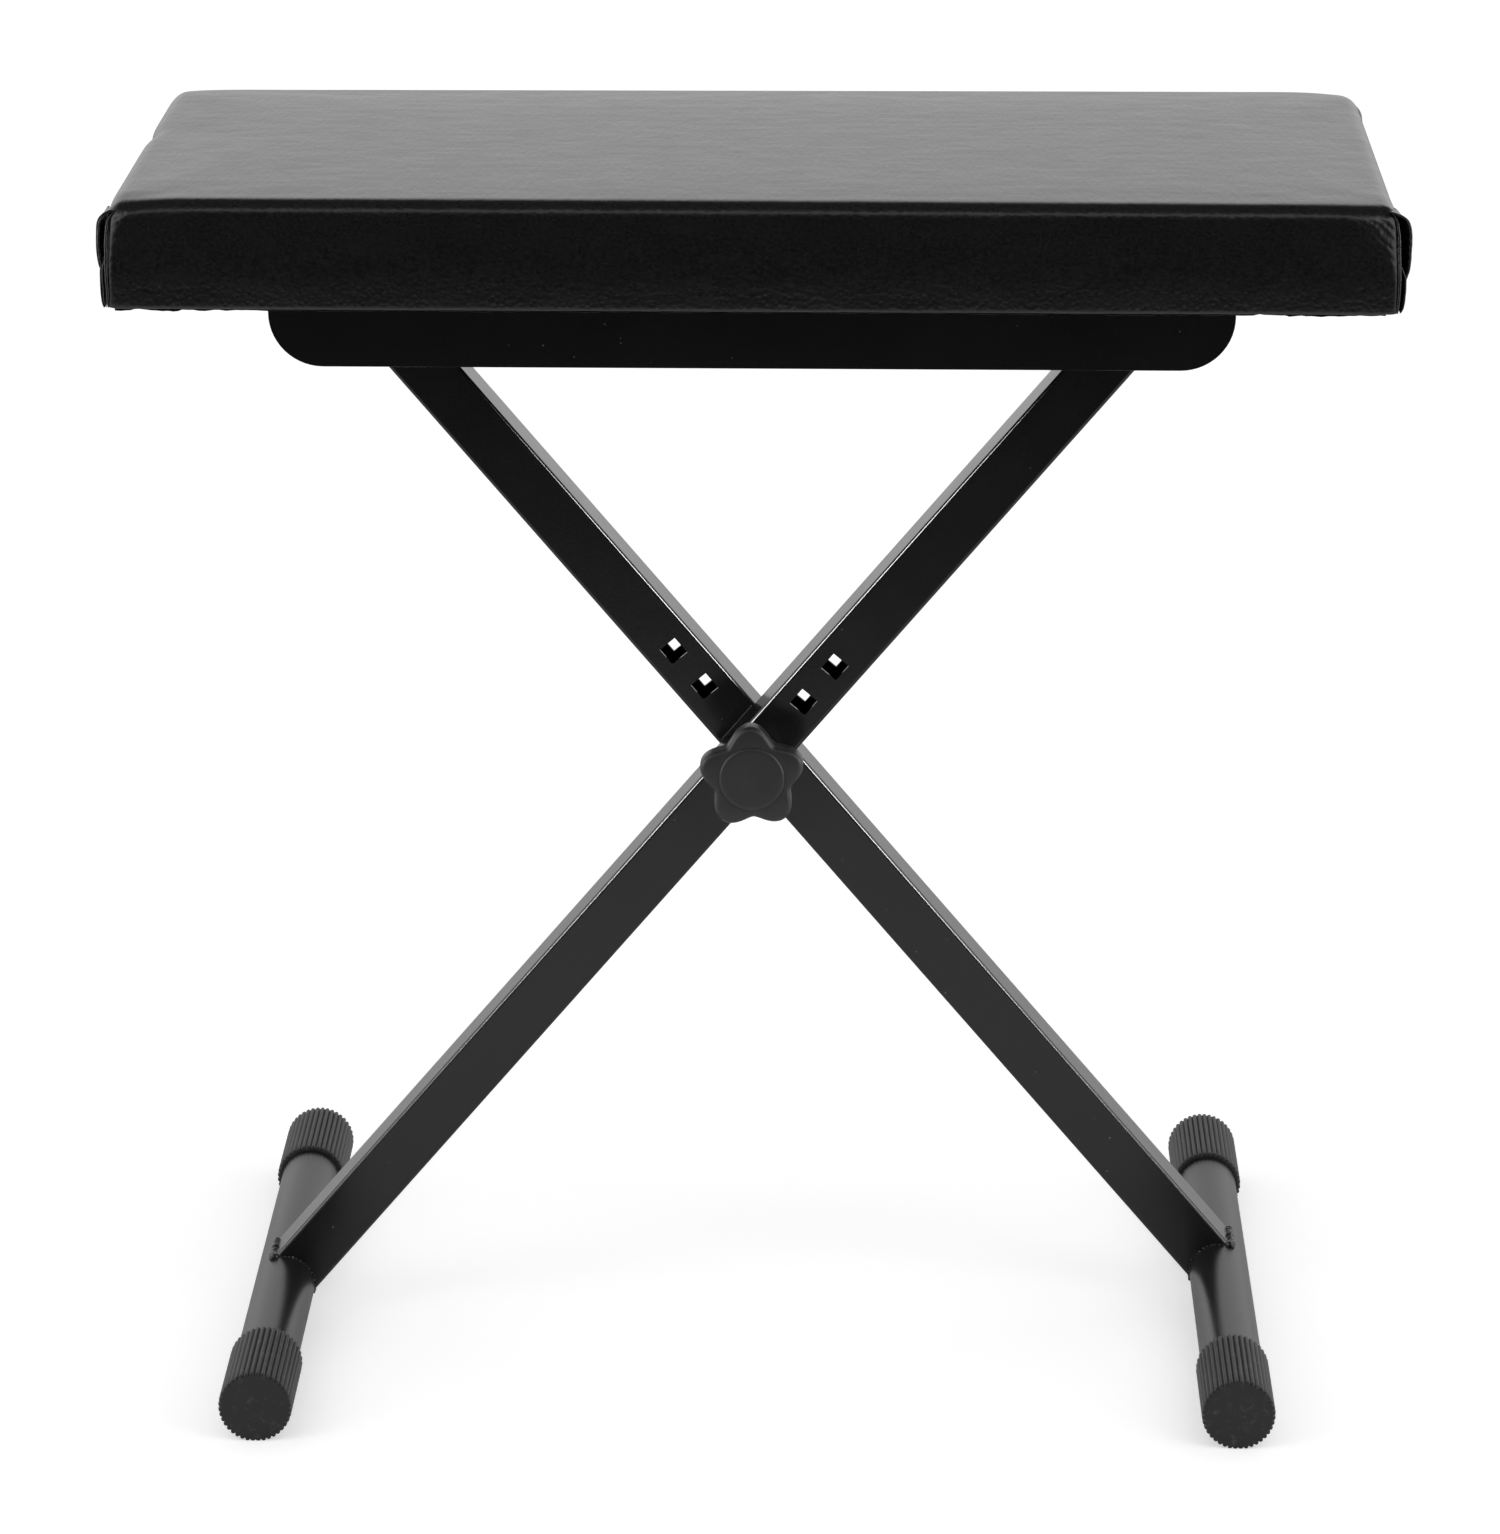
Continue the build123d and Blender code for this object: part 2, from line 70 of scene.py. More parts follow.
# %% Place the camera
SENSOR = 36.0
PICTURE_HEIGHT = 1534
FOCAL_PIXELS = 6498.29
EYE = (0.053504, -2.884436, 1.113213)
lens = bpy.data.cameras.new("bench_camera")
lens.sensor_width = SENSOR
lens.lens = FOCAL_PIXELS * SENSOR / PICTURE_HEIGHT
lens.clip_end = 50.0
camera = bpy.data.objects.new("bench_camera", lens)
bpy.context.scene.collection.objects.link(camera)
yaw, pitch, roll = radians(1.10158), radians(16.40691), radians(0.04830)
turn = (Matrix.Rotation(yaw, 4, "Z") @ Matrix.Rotation(pi / 2 - pitch, 4, "X")
        @ Matrix.Rotation(roll, 4, "Z"))
camera.matrix_world = Matrix.Translation(EYE) @ turn
bpy.context.scene.camera = camera
print("lens", round(lens.lens, 1), "mm")

# %% [markdown]
# ## Nodes and colours
#
# Colours are picked as sRGB hex values, but shaders add light in linear space, so one
# function converts them. A second one adds any node: settings are its attributes, and each
# input takes either a plain value or another node's output, which it links.

# %% Colour and node helpers
def linear(hex_colour):
    """An sRGB hex colour as linear RGBA."""
    values = [int(hex_colour[i:i + 2], 16) / 255 for i in (1, 3, 5)]
    return [v / 12.92 if v <= 0.04045 else ((v + 0.055) / 1.055) ** 2.4
            for v in values] + [1.0]


def add(tree, kind, inputs=None, **settings):
    """Adds one node with its settings, and sets or links its inputs."""
    node = tree.nodes.new(kind)
    for name, value in settings.items():
        setattr(node, name, value)
    for socket, value in (inputs or {}).items():
        if isinstance(value, bpy.types.NodeSocket):
            tree.links.new(value, node.inputs[socket])
        else:
            node.inputs[socket].default_value = value
    return node


def start_finish(name):
    """A new material, its node tree and the Object coordinates that its patterns read."""
    material = bpy.data.materials.new(name)
    material.use_nodes = True
    material.node_tree.nodes.clear()
    place = add(material.node_tree, "ShaderNodeTexCoord").outputs["Object"]
    return material, material.node_tree, place


def close_finish(material, **sockets):
    """Ends a material with a Principled shader that has these sockets set or linked."""
    tree = material.node_tree
    inputs = {name.replace("_", " "): value for name, value in sockets.items()}
    shader = add(tree, "ShaderNodeBsdfPrincipled", inputs)
    add(tree, "ShaderNodeOutputMaterial", {"Surface": shader.outputs["BSDF"]})
    print(material.name, "has", len(tree.nodes), "nodes")


print("black #141414 is", round(linear("#141414")[0], 4), "in linear light")

# %% [markdown]
# ## White background
#
# The bench stands before plain white. A white wall could be built, but the world does it with no
# mesh: Light Path tells it which ray is asking. The camera sees pure white, mirrored and
# transmitted rays see white low down and a dark ceiling, as black paint shows in a studio, and the
# rest get a softer daylight, so that the background doesn't wash the bench out.

# %% World
def ray_kinds(tree):
    """Two outputs: 1 for rays from the camera, and 1 for rays that were mirrored or let through."""
    path = add(tree, "ShaderNodeLightPath").outputs
    mirrored = add(tree, "ShaderNodeMath", {0: path["Is Glossy Ray"],
                                            1: path["Is Transmission Ray"]},
                   operation="MAXIMUM").outputs[0]
    return path["Is Camera Ray"], mirrored


DAYLIGHT = 0.7               # what the background casts on the bench and the floor
CEILING = 0.06               # how bright reflections see the ceiling
WHITE_BELOW, DARK_ABOVE = 0.55, 0.80         # heights on the sky, as the sine of the elevation
world = bpy.data.worlds.new("white_studio")
bpy.context.scene.world = world
world.use_nodes = True
sky = world.node_tree
sky.nodes.clear()
from_camera, mirrored = ray_kinds(sky)
heading = add(sky, "ShaderNodeTexCoord").outputs["Generated"]
height = add(sky, "ShaderNodeSeparateXYZ", {"Vector": heading}).outputs["Z"]
dimming = add(sky, "ShaderNodeMapRange", {"Value": height, "From Min": WHITE_BELOW,
                                          "From Max": DARK_ABOVE, "To Min": 1.0,
                                          "To Max": CEILING}).outputs[0]
cast = add(sky, "ShaderNodeMapRange",
           {"Value": mirrored, "To Min": DAYLIGHT, "To Max": dimming}).outputs[0]
level = add(sky, "ShaderNodeMath", {0: cast, 1: from_camera}, operation="MAXIMUM").outputs[0]
backdrop = add(sky, "ShaderNodeBackground", {"Color": (1, 1, 1, 1), "Strength": level})
add(sky, "ShaderNodeOutputWorld", {"Surface": backdrop.outputs[0]})
bpy.context.scene.view_settings.view_transform = "Standard"
print("world: white for the camera,", DAYLIGHT, "for the light it casts")

# %% [markdown]
# ## Sweep and dark studio
#
# A paper sweep is a white floor that ends in front of the bench, and beyond it the studio is dark.
# That edge is why black paint shows a bright floor low down and darkness higher up. The paper is a
# plane that the camera sees a little brighter, while it keeps the bench's shadow. The dark floor
# and a drape behind the camera are two more planes that only reflections see.

# %% Sweep and dark studio
def panel(name, corners, finish):
    """A flat rectangle of the studio, which isn't part of the bench."""
    bm = bmesh.new()
    bm.faces.new([bm.verts.new(c) for c in corners])
    mesh = bpy.data.meshes.new(name)
    bm.to_mesh(mesh)
    bm.free()
    mesh.materials.append(finish)
    screen = bpy.data.objects.new(name, mesh)
    bpy.context.scene.collection.objects.link(screen)
    return screen


SIDE, SWEEP_FRONT, SWEEP_BACK = 6, -1.05, 9
FLOOR_LIFT, MIRRORED_LIFT = 0.5, 0.08        # how much brighter the camera and mirrors see it
paper, tree, _ = start_finish("paper_sweep_matte_white")
from_camera, mirrored = ray_kinds(tree)
dim = add(tree, "ShaderNodeMath", {0: mirrored, 1: MIRRORED_LIFT}, operation="MULTIPLY").outputs[0]
lift = add(tree, "ShaderNodeMath", {0: from_camera, 1: FLOOR_LIFT, 2: dim},
           operation="MULTIPLY_ADD").outputs[0]
close_finish(paper, Base_Color=linear("#e6e6e6"), Roughness=0.9, Specular_IOR_Level=0.0,
             Emission_Color=(1, 1, 1, 1), Emission_Strength=lift)
panel("paper_sweep", [(-SIDE, SWEEP_FRONT, 0), (SIDE, SWEEP_FRONT, 0), (SIDE, SWEEP_BACK, 0),
                      (-SIDE, SWEEP_BACK, 0)], paper)

DRAPE, DRAPE_TOP = -4.5, 4
dark, _, _ = start_finish("black_cloth_studio")
close_finish(dark, Base_Color=linear("#303030"), Roughness=1.0, Specular_IOR_Level=0.0)
foot_line = [(-SIDE, DRAPE, 0), (SIDE, DRAPE, 0)]
for screen in (panel("dark_studio_floor", foot_line + [(SIDE, SWEEP_FRONT, 0),
                                                       (-SIDE, SWEEP_FRONT, 0)], dark),
               panel("dark_drape", foot_line + [(SIDE, DRAPE, DRAPE_TOP),
                                                (-SIDE, DRAPE, DRAPE_TOP)], dark)):
    screen.visible_camera = False
    screen.visible_shadow = False
print("sweep ends", -SWEEP_FRONT, "m in front, drape hangs", -DRAPE, "m in front")

# %% [markdown]
# ## Lamps
#
# Two tall softboxes light the bench from the sides and one from above the camera. Round edges of
# black paint need something bright to mirror, so a strip and a card stand on each side and give
# each edge its thin line. Those four are switched off for diffuse rays, so that the floor and the
# flat faces get no light from them, and black stays black.

# %% Lamps
def softbox(name, place, aim, width, height, radiance, only_mirrored=False):
    """An area lamp that faces a point. Its power follows from how bright its face is."""
    lamp = bpy.data.lights.new(name, "AREA")
    lamp.shape = "RECTANGLE"
    lamp.size, lamp.size_y = width, height
    lamp.energy = radiance * pi * width * height
    box = bpy.data.objects.new(name, lamp)
    box.location = place
    box.rotation_euler = (Vector(aim) - Vector(place)).to_track_quat("-Z", "Y").to_euler()
    box.visible_camera = False
    box.visible_diffuse = not only_mirrored
    bpy.context.scene.collection.objects.link(box)


softbox("left_softbox", (-1.4, -1.1, 1.0), (0, -0.1, 0.75), 1.0, 1.9, 1.1)
softbox("right_softbox", (1.4, -1.1, 1.0), (0, -0.1, 0.75), 1.0, 1.9, 1.2)
softbox("left_strip", (-1.6, -1.2, 1.3), (0, 0, 0.4), 0.6, 0.9, 45.0, only_mirrored=True)
softbox("right_strip", (1.6, -1.2, 1.3), (0, 0, 0.4), 0.6, 0.9, 48.0, only_mirrored=True)
softbox("left_card", (-1.9, -0.35, 0.7), (-0.3, 0, 0.5), 0.5, 1.2, 3.5, only_mirrored=True)
softbox("right_card", (1.9, -0.35, 0.7), (0.3, 0, 0.5), 0.5, 1.2, 4.5, only_mirrored=True)
softbox("front_softbox", (0.1, -2.6, 2.3), (0, 0, 0.5), 2.4, 0.9, 0.7)

# %% [markdown]
# ## Black enamel
#
# Legs and rails are sprayed with black enamel and stoved. A perfectly smooth black would look like
# a drawing. A fine noise gives the bump of orange peel, a slow one varies the gloss, and the
# middles of a few Voronoi cells become grains of dust. All of them read Object coordinates, so they
# stay where they are when the piece moves.

# %% Black enamel
def per_metre(size_mm):
    """Texture scale that makes one cell of a pattern this many millimetres wide."""
    return 1 / (size_mm * MM)


# Stoved black enamel on drawn steel tube: glossy, with the faint orange peel of a sprayed
# coat, about 2 mm from crest to crest, a little haze in its gloss, and grains of dust.
enamel, tree, place = start_finish("stoved_enamel_sprayed_black")
peel = add(tree, "ShaderNodeTexNoise",
           {"Vector": place, "Scale": per_metre(2.2), "Detail": 2.0}).outputs["Fac"]
haze = add(tree, "ShaderNodeTexNoise",
           {"Vector": place, "Scale": per_metre(30), "Detail": 4.0}).outputs["Fac"]
gloss = add(tree, "ShaderNodeMapRange", {"Value": haze, "To Min": 0.16, "To Max": 0.26}).outputs[0]
motes = add(tree, "ShaderNodeTexVoronoi", {"Vector": place, "Scale": per_metre(7)},
            feature="F1").outputs
mote = add(tree, "ShaderNodeMapRange",
           {"Value": motes["Distance"], "From Min": 0.04, "From Max": 0.07,
            "To Min": 1.0, "To Max": 0.0}).outputs[0]
chance = add(tree, "ShaderNodeSeparateColor", {"Color": motes["Color"]}).outputs[0]
chosen = add(tree, "ShaderNodeMapRange",
             {"Value": chance, "From Min": 0.6, "From Max": 0.8}).outputs[0]
dust = add(tree, "ShaderNodeMath", {0: mote, 1: chosen}, operation="MULTIPLY").outputs[0]
coat = add(tree, "ShaderNodeMix", {"Factor": dust, "A": linear("#171717"), "B": linear("#6b6b6b")},
           data_type="RGBA").outputs["Result"]
skin = add(tree, "ShaderNodeBump", {"Height": peel, "Distance": 0.012 * MM}).outputs[0]
close_finish(enamel, Base_Color=coat, Roughness=gloss, IOR=1.5, Normal=skin)

# %% [markdown]
# ## Powder coat
#
# The foot bars are coated with powder instead, because they are kicked. Melted powder is duller
# than enamel and finely grained, so this finish is rougher, with a bump of 1 mm grains and pale
# specks where a grain stands up. It is a material of its own, as the two meet at the welds and
# differ.

# %% Powder coat
# Powder coat on drawn tube: black, semi-gloss, with a sandy grain that breaks the shine up.
powder, tree, place = start_finish("powder_coat_fine_grained_black")
sand = add(tree, "ShaderNodeTexNoise",
           {"Vector": place, "Scale": per_metre(1.0), "Detail": 3.0}).outputs["Fac"]
grains = add(tree, "ShaderNodeMapRange",
             {"Value": sand, "From Min": 0.45, "From Max": 0.75}).outputs[0]
coat = add(tree, "ShaderNodeMix",
           {"Factor": grains, "A": linear("#141414"), "B": linear("#2b2b2b")},
           data_type="RGBA").outputs["Result"]
gloss = add(tree, "ShaderNodeMapRange", {"Value": sand, "To Min": 0.24, "To Max": 0.42}).outputs[0]
skin = add(tree, "ShaderNodeBump", {"Height": sand, "Distance": 0.05 * MM}).outputs[0]
close_finish(powder, Base_Color=coat, Roughness=gloss, IOR=1.45, Normal=skin)

# %% [markdown]
# ## Rubber
#
# The caps on the feet are moulded rubber. New rubber is a dark matt grey, and it picks up chalky
# scuffs. A steep noise of a few millimetres, cut off so that only its peaks count, lays them on,
# and a much finer one gives the skin of a blasted mould. Painting scuffs by hand would need UVs.

# %% Rubber
# Moulded black rubber: matt and greyish, with a fine blasted texture from the mould and chalky
# scuffs a few millimetres long where it has been dragged.
rubber, tree, place = start_finish("rubber_moulded_black")
grit = add(tree, "ShaderNodeTexNoise",
           {"Vector": place, "Scale": per_metre(0.8), "Detail": 3.0}).outputs["Fac"]
bloom = add(tree, "ShaderNodeTexNoise", {"Vector": place, "Scale": per_metre(5), "Detail": 5.0,
                                         "Roughness": 0.75}).outputs["Fac"]
scuff = add(tree, "ShaderNodeMapRange",
            {"Value": bloom, "From Min": 0.55, "From Max": 0.8}).outputs[0]
chalk = add(tree, "ShaderNodeMix",
            {"Factor": scuff, "A": linear("#202020"), "B": linear("#50504e")},
            data_type="RGBA").outputs["Result"]
skin = add(tree, "ShaderNodeBump", {"Height": grit, "Distance": 0.05 * MM}).outputs[0]
close_finish(rubber, Base_Color=chalk, Roughness=0.5, IOR=1.5, Normal=skin)

# %% [markdown]
# ## Knob plastic
#
# The knob is glass filled nylon, whose fibres leave the surface matt and a little cloudy. Two
# noises are enough: a grain for the bump and a slow cloud between two charcoals.

# %% Knob plastic
# Glass filled nylon from a spark eroded mould: charcoal, matt, with a fine even grain.
plastic, tree, place = start_finish("nylon_moulded_charcoal")
grit = add(tree, "ShaderNodeTexNoise",
           {"Vector": place, "Scale": per_metre(0.7), "Detail": 2.0}).outputs["Fac"]
cloud = add(tree, "ShaderNodeTexNoise",
            {"Vector": place, "Scale": per_metre(11), "Detail": 3.0}).outputs["Fac"]
shade = add(tree, "ShaderNodeMix",
            {"Factor": cloud, "A": linear("#242424"), "B": linear("#303031")},
            data_type="RGBA").outputs["Result"]
skin = add(tree, "ShaderNodeBump", {"Height": grit, "Distance": 0.04 * MM}).outputs[0]
close_finish(plastic, Base_Color=shade, Roughness=0.42, IOR=1.53, Normal=skin)

# %% [markdown]
# ## Zinc plating
#
# Screws, washers, nuts, studs, staples and the bolt are steel with a thin coat of zinc. It is a
# bare metal, so it has no colour of its own under the shine, and its film only changes how sharp
# the shine is: a cloudy noise drives the roughness and nothing else.

# %% Zinc
# Zinc plated steel: bright grey metal with a cloudy passivated film.
zinc, tree, place = start_finish("steel_zinc_plated")
cloud = add(tree, "ShaderNodeTexNoise", {"Vector": place, "Scale": per_metre(3), "Detail": 3.0})
gloss = add(tree, "ShaderNodeMapRange",
            {"Value": cloud.outputs["Fac"], "To Min": 0.25, "To Max": 0.45})
close_finish(zinc, Base_Color=linear("#b9bcc0"), Metallic=1.0, Roughness=gloss.outputs[0])

# %% [markdown]
# ## Turning a bmesh into a piece
#
# Every piece ends in the same way. Its faces are shaded smooth, edges that should stay crisp are
# marked, and the bmesh becomes an object at the origin that rides on a body, takes a finish and
# stands for CAD nodes. Doing that in one function keeps the cells that follow about shape alone.
# The second function copies a CAD node, merges its loose triangles and rounds its sharp edges.

# %% Piece helpers
def mark_edges(bm, sharp):
    """Shades faces smooth, with a crease wherever two of them meet at more than this angle."""
    for face in bm.faces:
        face.smooth = True
    for edge in bm.edges:
        edge.smooth = len(edge.link_faces) == 2 and edge.calc_face_angle() < radians(sharp)


def make_piece(bm, name, finish, body, stands_for=(), sharp=35.0):
    """Makes the bmesh an object that rides on a body and stands for some CAD nodes."""
    mark_edges(bm, sharp)
    mesh = bpy.data.meshes.new(name)
    bm.to_mesh(mesh)
    bm.free()
    mesh.materials.append(finish)
    piece = bpy.data.objects.new(name, mesh)
    bpy.context.scene.collection.objects.link(piece)
    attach(piece, body)
    if stands_for:
        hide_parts(*stands_for)
    print(name, "has", len(mesh.polygons), "faces")
    return piece


MERGE = 0.002 * MM           # triangles of a CAD node meet exactly, but for rounding
FLAT, SHARP = 0.5, 40        # degrees: faces that are one plane, and edges that get rounded


def eased_copy(node, edge_mm, name, finish):
    """A copy of a CAD node with its sharp edges rounded a little, as real edges are."""
    bm = bmesh.new()
    bm.from_mesh(frame["nodes"][node].data)
    bmesh.ops.remove_doubles(bm, verts=bm.verts, dist=MERGE)
    bmesh.ops.dissolve_limit(bm, angle_limit=radians(FLAT), verts=bm.verts, edges=bm.edges)
    edges = [e for e in bm.edges
             if len(e.link_faces) == 2 and e.calc_face_angle() > radians(SHARP)]
    bmesh.ops.bevel(bm, geom=edges, offset=edge_mm * MM, offset_type="OFFSET", segments=2,
                    profile=0.5, affect="EDGES", material=-1, clamp_overlap=True)
    piece = make_piece(bm, name, finish, body_of[node], [node])
    piece.modifiers.new("even_shading", "WEIGHTED_NORMAL").keep_sharp = True
    return piece


print("pieces will ride on", ", ".join(sorted(set(body_of.values()))))

# %% [markdown]
# ## Legs and rails
#
# The legs are square tube, drawn with rounded corners, and the rails are bent from sheet. The CAD
# shape is right, but where a hole or an end was cut its edges are razor sharp, and no real edge is.
# A worn edge carries a thin bright line, which is half of what makes black metal readable. A Bevel
# modifier would also round the drawn corners again, so the bevel is given only the sharp edges.

# %% Legs and rails
TUBE_EDGE, RAIL_EDGE, CROSS_EDGE = 0.35, 0.5, 0.3        # how far edges are rounded, in mm
for node, edge_mm, name in (("front_leg_tube", TUBE_EDGE, "front_leg"),
                            ("rear_leg_tube", TUBE_EDGE, "rear_leg"),
                            ("front_rail", RAIL_EDGE, "front_rail_plate"),
                            ("rear_rail", RAIL_EDGE, "rear_rail_plate"),
                            ("front_leg_cross_tube", CROSS_EDGE, "front_leg_cross_tube_smooth"),
                            ("rear_leg_cross_tube", CROSS_EDGE, "rear_leg_cross_tube_smooth")):
    eased_copy(node, edge_mm, name, enamel)

# %% [markdown]
# ## Foot tubes
#
# A foot is a length of round tube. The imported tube's mesh has few sides, which shows along a bright
# edge, so it is made again and rounder: two circles are bridged into a ring, and the ring is drawn
# out along Y, as a real tube is drawn.

# %% Foot tubes
WALL = 1.5 * MM
TUBE_SIDES = 96


def foot_tube(node, name):
    """A round tube where the CAD has a foot tube."""
    low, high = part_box(node)
    radius = (high.x - low.x) / 2
    bm = bmesh.new()
    for r in (radius, radius - WALL):
        bmesh.ops.create_circle(bm, segments=TUBE_SIDES, radius=r)
    ring = bmesh.ops.bridge_loops(bm, edges=bm.edges[:])["faces"]
    drawn = bmesh.ops.extrude_face_region(bm, geom=ring)["geom"]
    moved = [v for v in drawn if isinstance(v, bmesh.types.BMVert)]
    bmesh.ops.translate(bm, verts=moved, vec=(0, 0, high.y - low.y))
    place = Matrix.Translation(((low.x + high.x) / 2, high.y, (low.z + high.z) / 2))
    bmesh.ops.transform(bm, matrix=place @ Matrix.Rotation(pi / 2, 4, "X"), verts=bm.verts)
    bmesh.ops.recalc_face_normals(bm, faces=bm.faces)
    return make_piece(bm, name, powder, body_of[node], [node])


foot_tube("left_foot_tube", "left_foot")
foot_tube("right_foot_tube", "right_foot")

# %% [markdown]
# ## Ribbed caps
#
# A rubber cap with lengthwise ribs is pushed on each end of a foot. A mould maker would cut the
# ribs after turning the outside. Here the cap is drawn as a lathe would see it, one ring after
# another, and each ring is wavy where the ribs are, so no rib has to be cut or joined on.

# %% Ribbed caps
def draw_rings(bm, segments, rings):
    """Extrudes a circle from ring to ring and closes the last. A ring gives each angle a point."""
    made = bmesh.ops.create_circle(bm, segments=segments, radius=1.0)["verts"]
    angle_of = {v: atan2(v.co.y, v.co.x) for v in made}
    edges = list({e for v in made for e in v.link_edges})
    for v, angle in angle_of.items():
        v.co = rings[0](angle)
    for ring in rings[1:]:
        grown = bmesh.ops.extrude_edge_only(bm, edges=edges)["geom"]
        edges = [g for g in grown if isinstance(g, bmesh.types.BMEdge)]
        fresh = {}
        for v in (g for g in grown if isinstance(g, bmesh.types.BMVert)):
            behind = next(e.other_vert(v) for e in v.link_edges if e.other_vert(v) in angle_of)
            fresh[v] = angle_of[behind]
        angle_of = fresh
        for v, angle in angle_of.items():
            v.co = ring(angle)
    bmesh.ops.edgeloop_fill(bm, edges=edges)


RIBS = 40
RIB_SIDES = 8                # points round one rib
GROOVE, PINCH = 1.0, 2.6     # how deep a groove is in mm, and how narrow beside its rib
BORE = 14.05                 # the tube's radius with a little play, in mm


def ribbed_cap(node, outward, name):
    """A cap on a foot's end, which points forwards (-1) or backwards (1)."""
    low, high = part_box(node)
    radius = (high.x - low.x) / 2
    centre_x, centre_z = (low.x + high.x) / 2, high.z - radius
    mouth = high.y if outward < 0 else low.y
    length = high.y - low.y

    def ring(depth_mm, inset_mm, ribs):
        def point(angle):
            groove = (0.5 + 0.5 * cos(RIBS * angle)) ** PINCH
            r = radius - (inset_mm + GROOVE * ribs * groove) * MM
            return (centre_x + r * cos(angle), mouth + outward * depth_mm * MM,
                    max(centre_z + r * sin(angle), 0.0))
        return point

    full = length / MM
    socket = radius / MM - BORE
    rings = [ring(2.0, socket, 0), ring(0.0, socket, 0), ring(0.0, 0.5, 0.6),
             ring(0.25, 0.1, 0.9), ring(0.7, 0.0, 1)]
    rings += [ring(full * k / 6, 0.0, 1) for k in range(1, 6)]
    rings += [ring(full - 1.0, 0, 1), ring(full - 0.35, 0.12, 1), ring(full, 0.55, 0.9),
              ring(full, 1.6, 0), ring(full + 0.15, 3.0, 0), ring(full + 0.15, 9.0, 0)]
    bm = bmesh.new()
    draw_rings(bm, RIBS * RIB_SIDES, rings)
    bmesh.ops.recalc_face_normals(bm, faces=bm.faces)
    return make_piece(bm, name, rubber, body_of[node], [node], 50.0)


for side in ("left", "right"):
    ribbed_cap(side + "_foot_front_cap", -1, side + "_front_cap_ribbed")
    ribbed_cap(side + "_foot_rear_cap", 1, side + "_rear_cap_ribbed")

# %% [markdown]
# ## Knob
#
# The clamp knob is a moulded five-lobed star on a round hub, with a disc set in its face. Its lobes
# are soft, so no circles joined by arcs will do: a cosine of five waves gives the outline, and
# stacked rings of it, each drawn in a little more, give the rounded rim. The hub and the face are
# rings of the same stack with a plain radius.

# %% Star knob
KNOB_LOBES = 5
KNOB_TURN = radians(90 + 2.5)
WAIST, LOBE, PLUMP = 18.3, 6.0, 0.85         # radius between lobes, lobe height, their fullness


def star(angle, inset_mm):
    """Radius of the knob's outline at an angle, drawn in by this much."""
    wave = 0.5 + 0.5 * cos(KNOB_LOBES * (angle - KNOB_TURN))
    return (WAIST + LOBE * wave ** PLUMP - inset_mm) * MM


low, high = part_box("clamp_knob")
axis_x, axis_z = 0.0, (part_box("knob_cap")[0].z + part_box("knob_cap")[1].z) / 2
knob_front = low.y
HEAD = 10.5                  # how thick the star is, in mm
KNOB_SIDES, DISC_SIDES = 240, 160


def knob_ring(depth_mm, inset_mm=None, radius_mm=None):
    """A ring of the knob, this deep behind its face: a star, or a circle if a radius is given."""
    def point(angle):
        r = star(angle, inset_mm) if radius_mm is None else radius_mm * MM
        return (axis_x + r * cos(angle), knob_front + depth_mm * MM, axis_z + r * sin(angle))
    return point


back = (high.y - low.y) / MM
hub = [(back, 7.2), (back, 12.9), (back - 0.6, 13.5), (HEAD + 0.8, 13.5), (HEAD, 14.2)]
rim = [(HEAD, 1.6), (HEAD - 0.5, 0.5), (HEAD - 1.6, 0.0), (6.0, 0.0), (2.6, 0.0), (1.6, 0.22),
       (0.8, 0.75), (0.25, 1.5), (0.0, 2.5)]
dish = [(0.0, 15.0), (0.0, 9.0)]
rings = [knob_ring(depth_mm, radius_mm=r) for depth_mm, r in hub]
rings += [knob_ring(depth_mm, inset) for depth_mm, inset in rim]
rings += [knob_ring(depth_mm, radius_mm=r) for depth_mm, r in dish]
bm = bmesh.new()
draw_rings(bm, KNOB_SIDES, rings)
bmesh.ops.recalc_face_normals(bm, faces=bm.faces)
make_piece(bm, "star_knob", plastic, "knob", ["clamp_knob"], 50.0)

disc = [(0.6, 14.9), (-0.08, 14.9), (-0.35, 14.72), (-0.65, 14.35), (-0.87, 13.8), (-0.97, 13.1),
        (-1.0, 12.2), (-1.0, 5.0)]
rings = [knob_ring(depth_mm, radius_mm=r) for depth_mm, r in disc]
bm = bmesh.new()
draw_rings(bm, DISC_SIDES, rings)
bmesh.ops.recalc_face_normals(bm, faces=bm.faces)
make_piece(bm, "knob_disc", plastic, "knob", ["knob_cap"], 50.0)

# %% [markdown]
# ## Cushion
#
# The seat is foam on a plywood board, wrapped in vinyl that is stapled underneath. It takes four
# steps: its measures, the vinyl itself, a block with the slack and pull of a hand-made wrap, and
# cloth that blows the block up. The measures come first, because the vinyl's pattern and the
# shape both use them. They are read from the CAD cover, less what the crown adds.

# %% Cushion measures
low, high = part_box("seat_cover")
END, FRONT = 280.0 * MM, 133.6 * MM          # half the length and half the depth of the block
UNDER, TOP = low.z, high.z - 2.5 * MM
BOARD = UNDER + 16 * MM                      # the board's upper edge, below which the wrap turns in
SET_RIGHT = 1.2 * MM                         # the cushion is screwed on a little to the right
print("cushion block", round(2 * END, 4), "x", round(2 * FRONT, 4), "x", round(TOP - UNDER, 4), "m")

# %% [markdown]
# ## Vinyl
#
# The cover is black vinyl with a leather grain pressed into it. A cell pattern makes the pebble and
# noises make the streaks of the roll and the slack of the wrap. They are stacked as bumps, the
# slowest first, because each Bump node tilts the surface that the next one starts from.

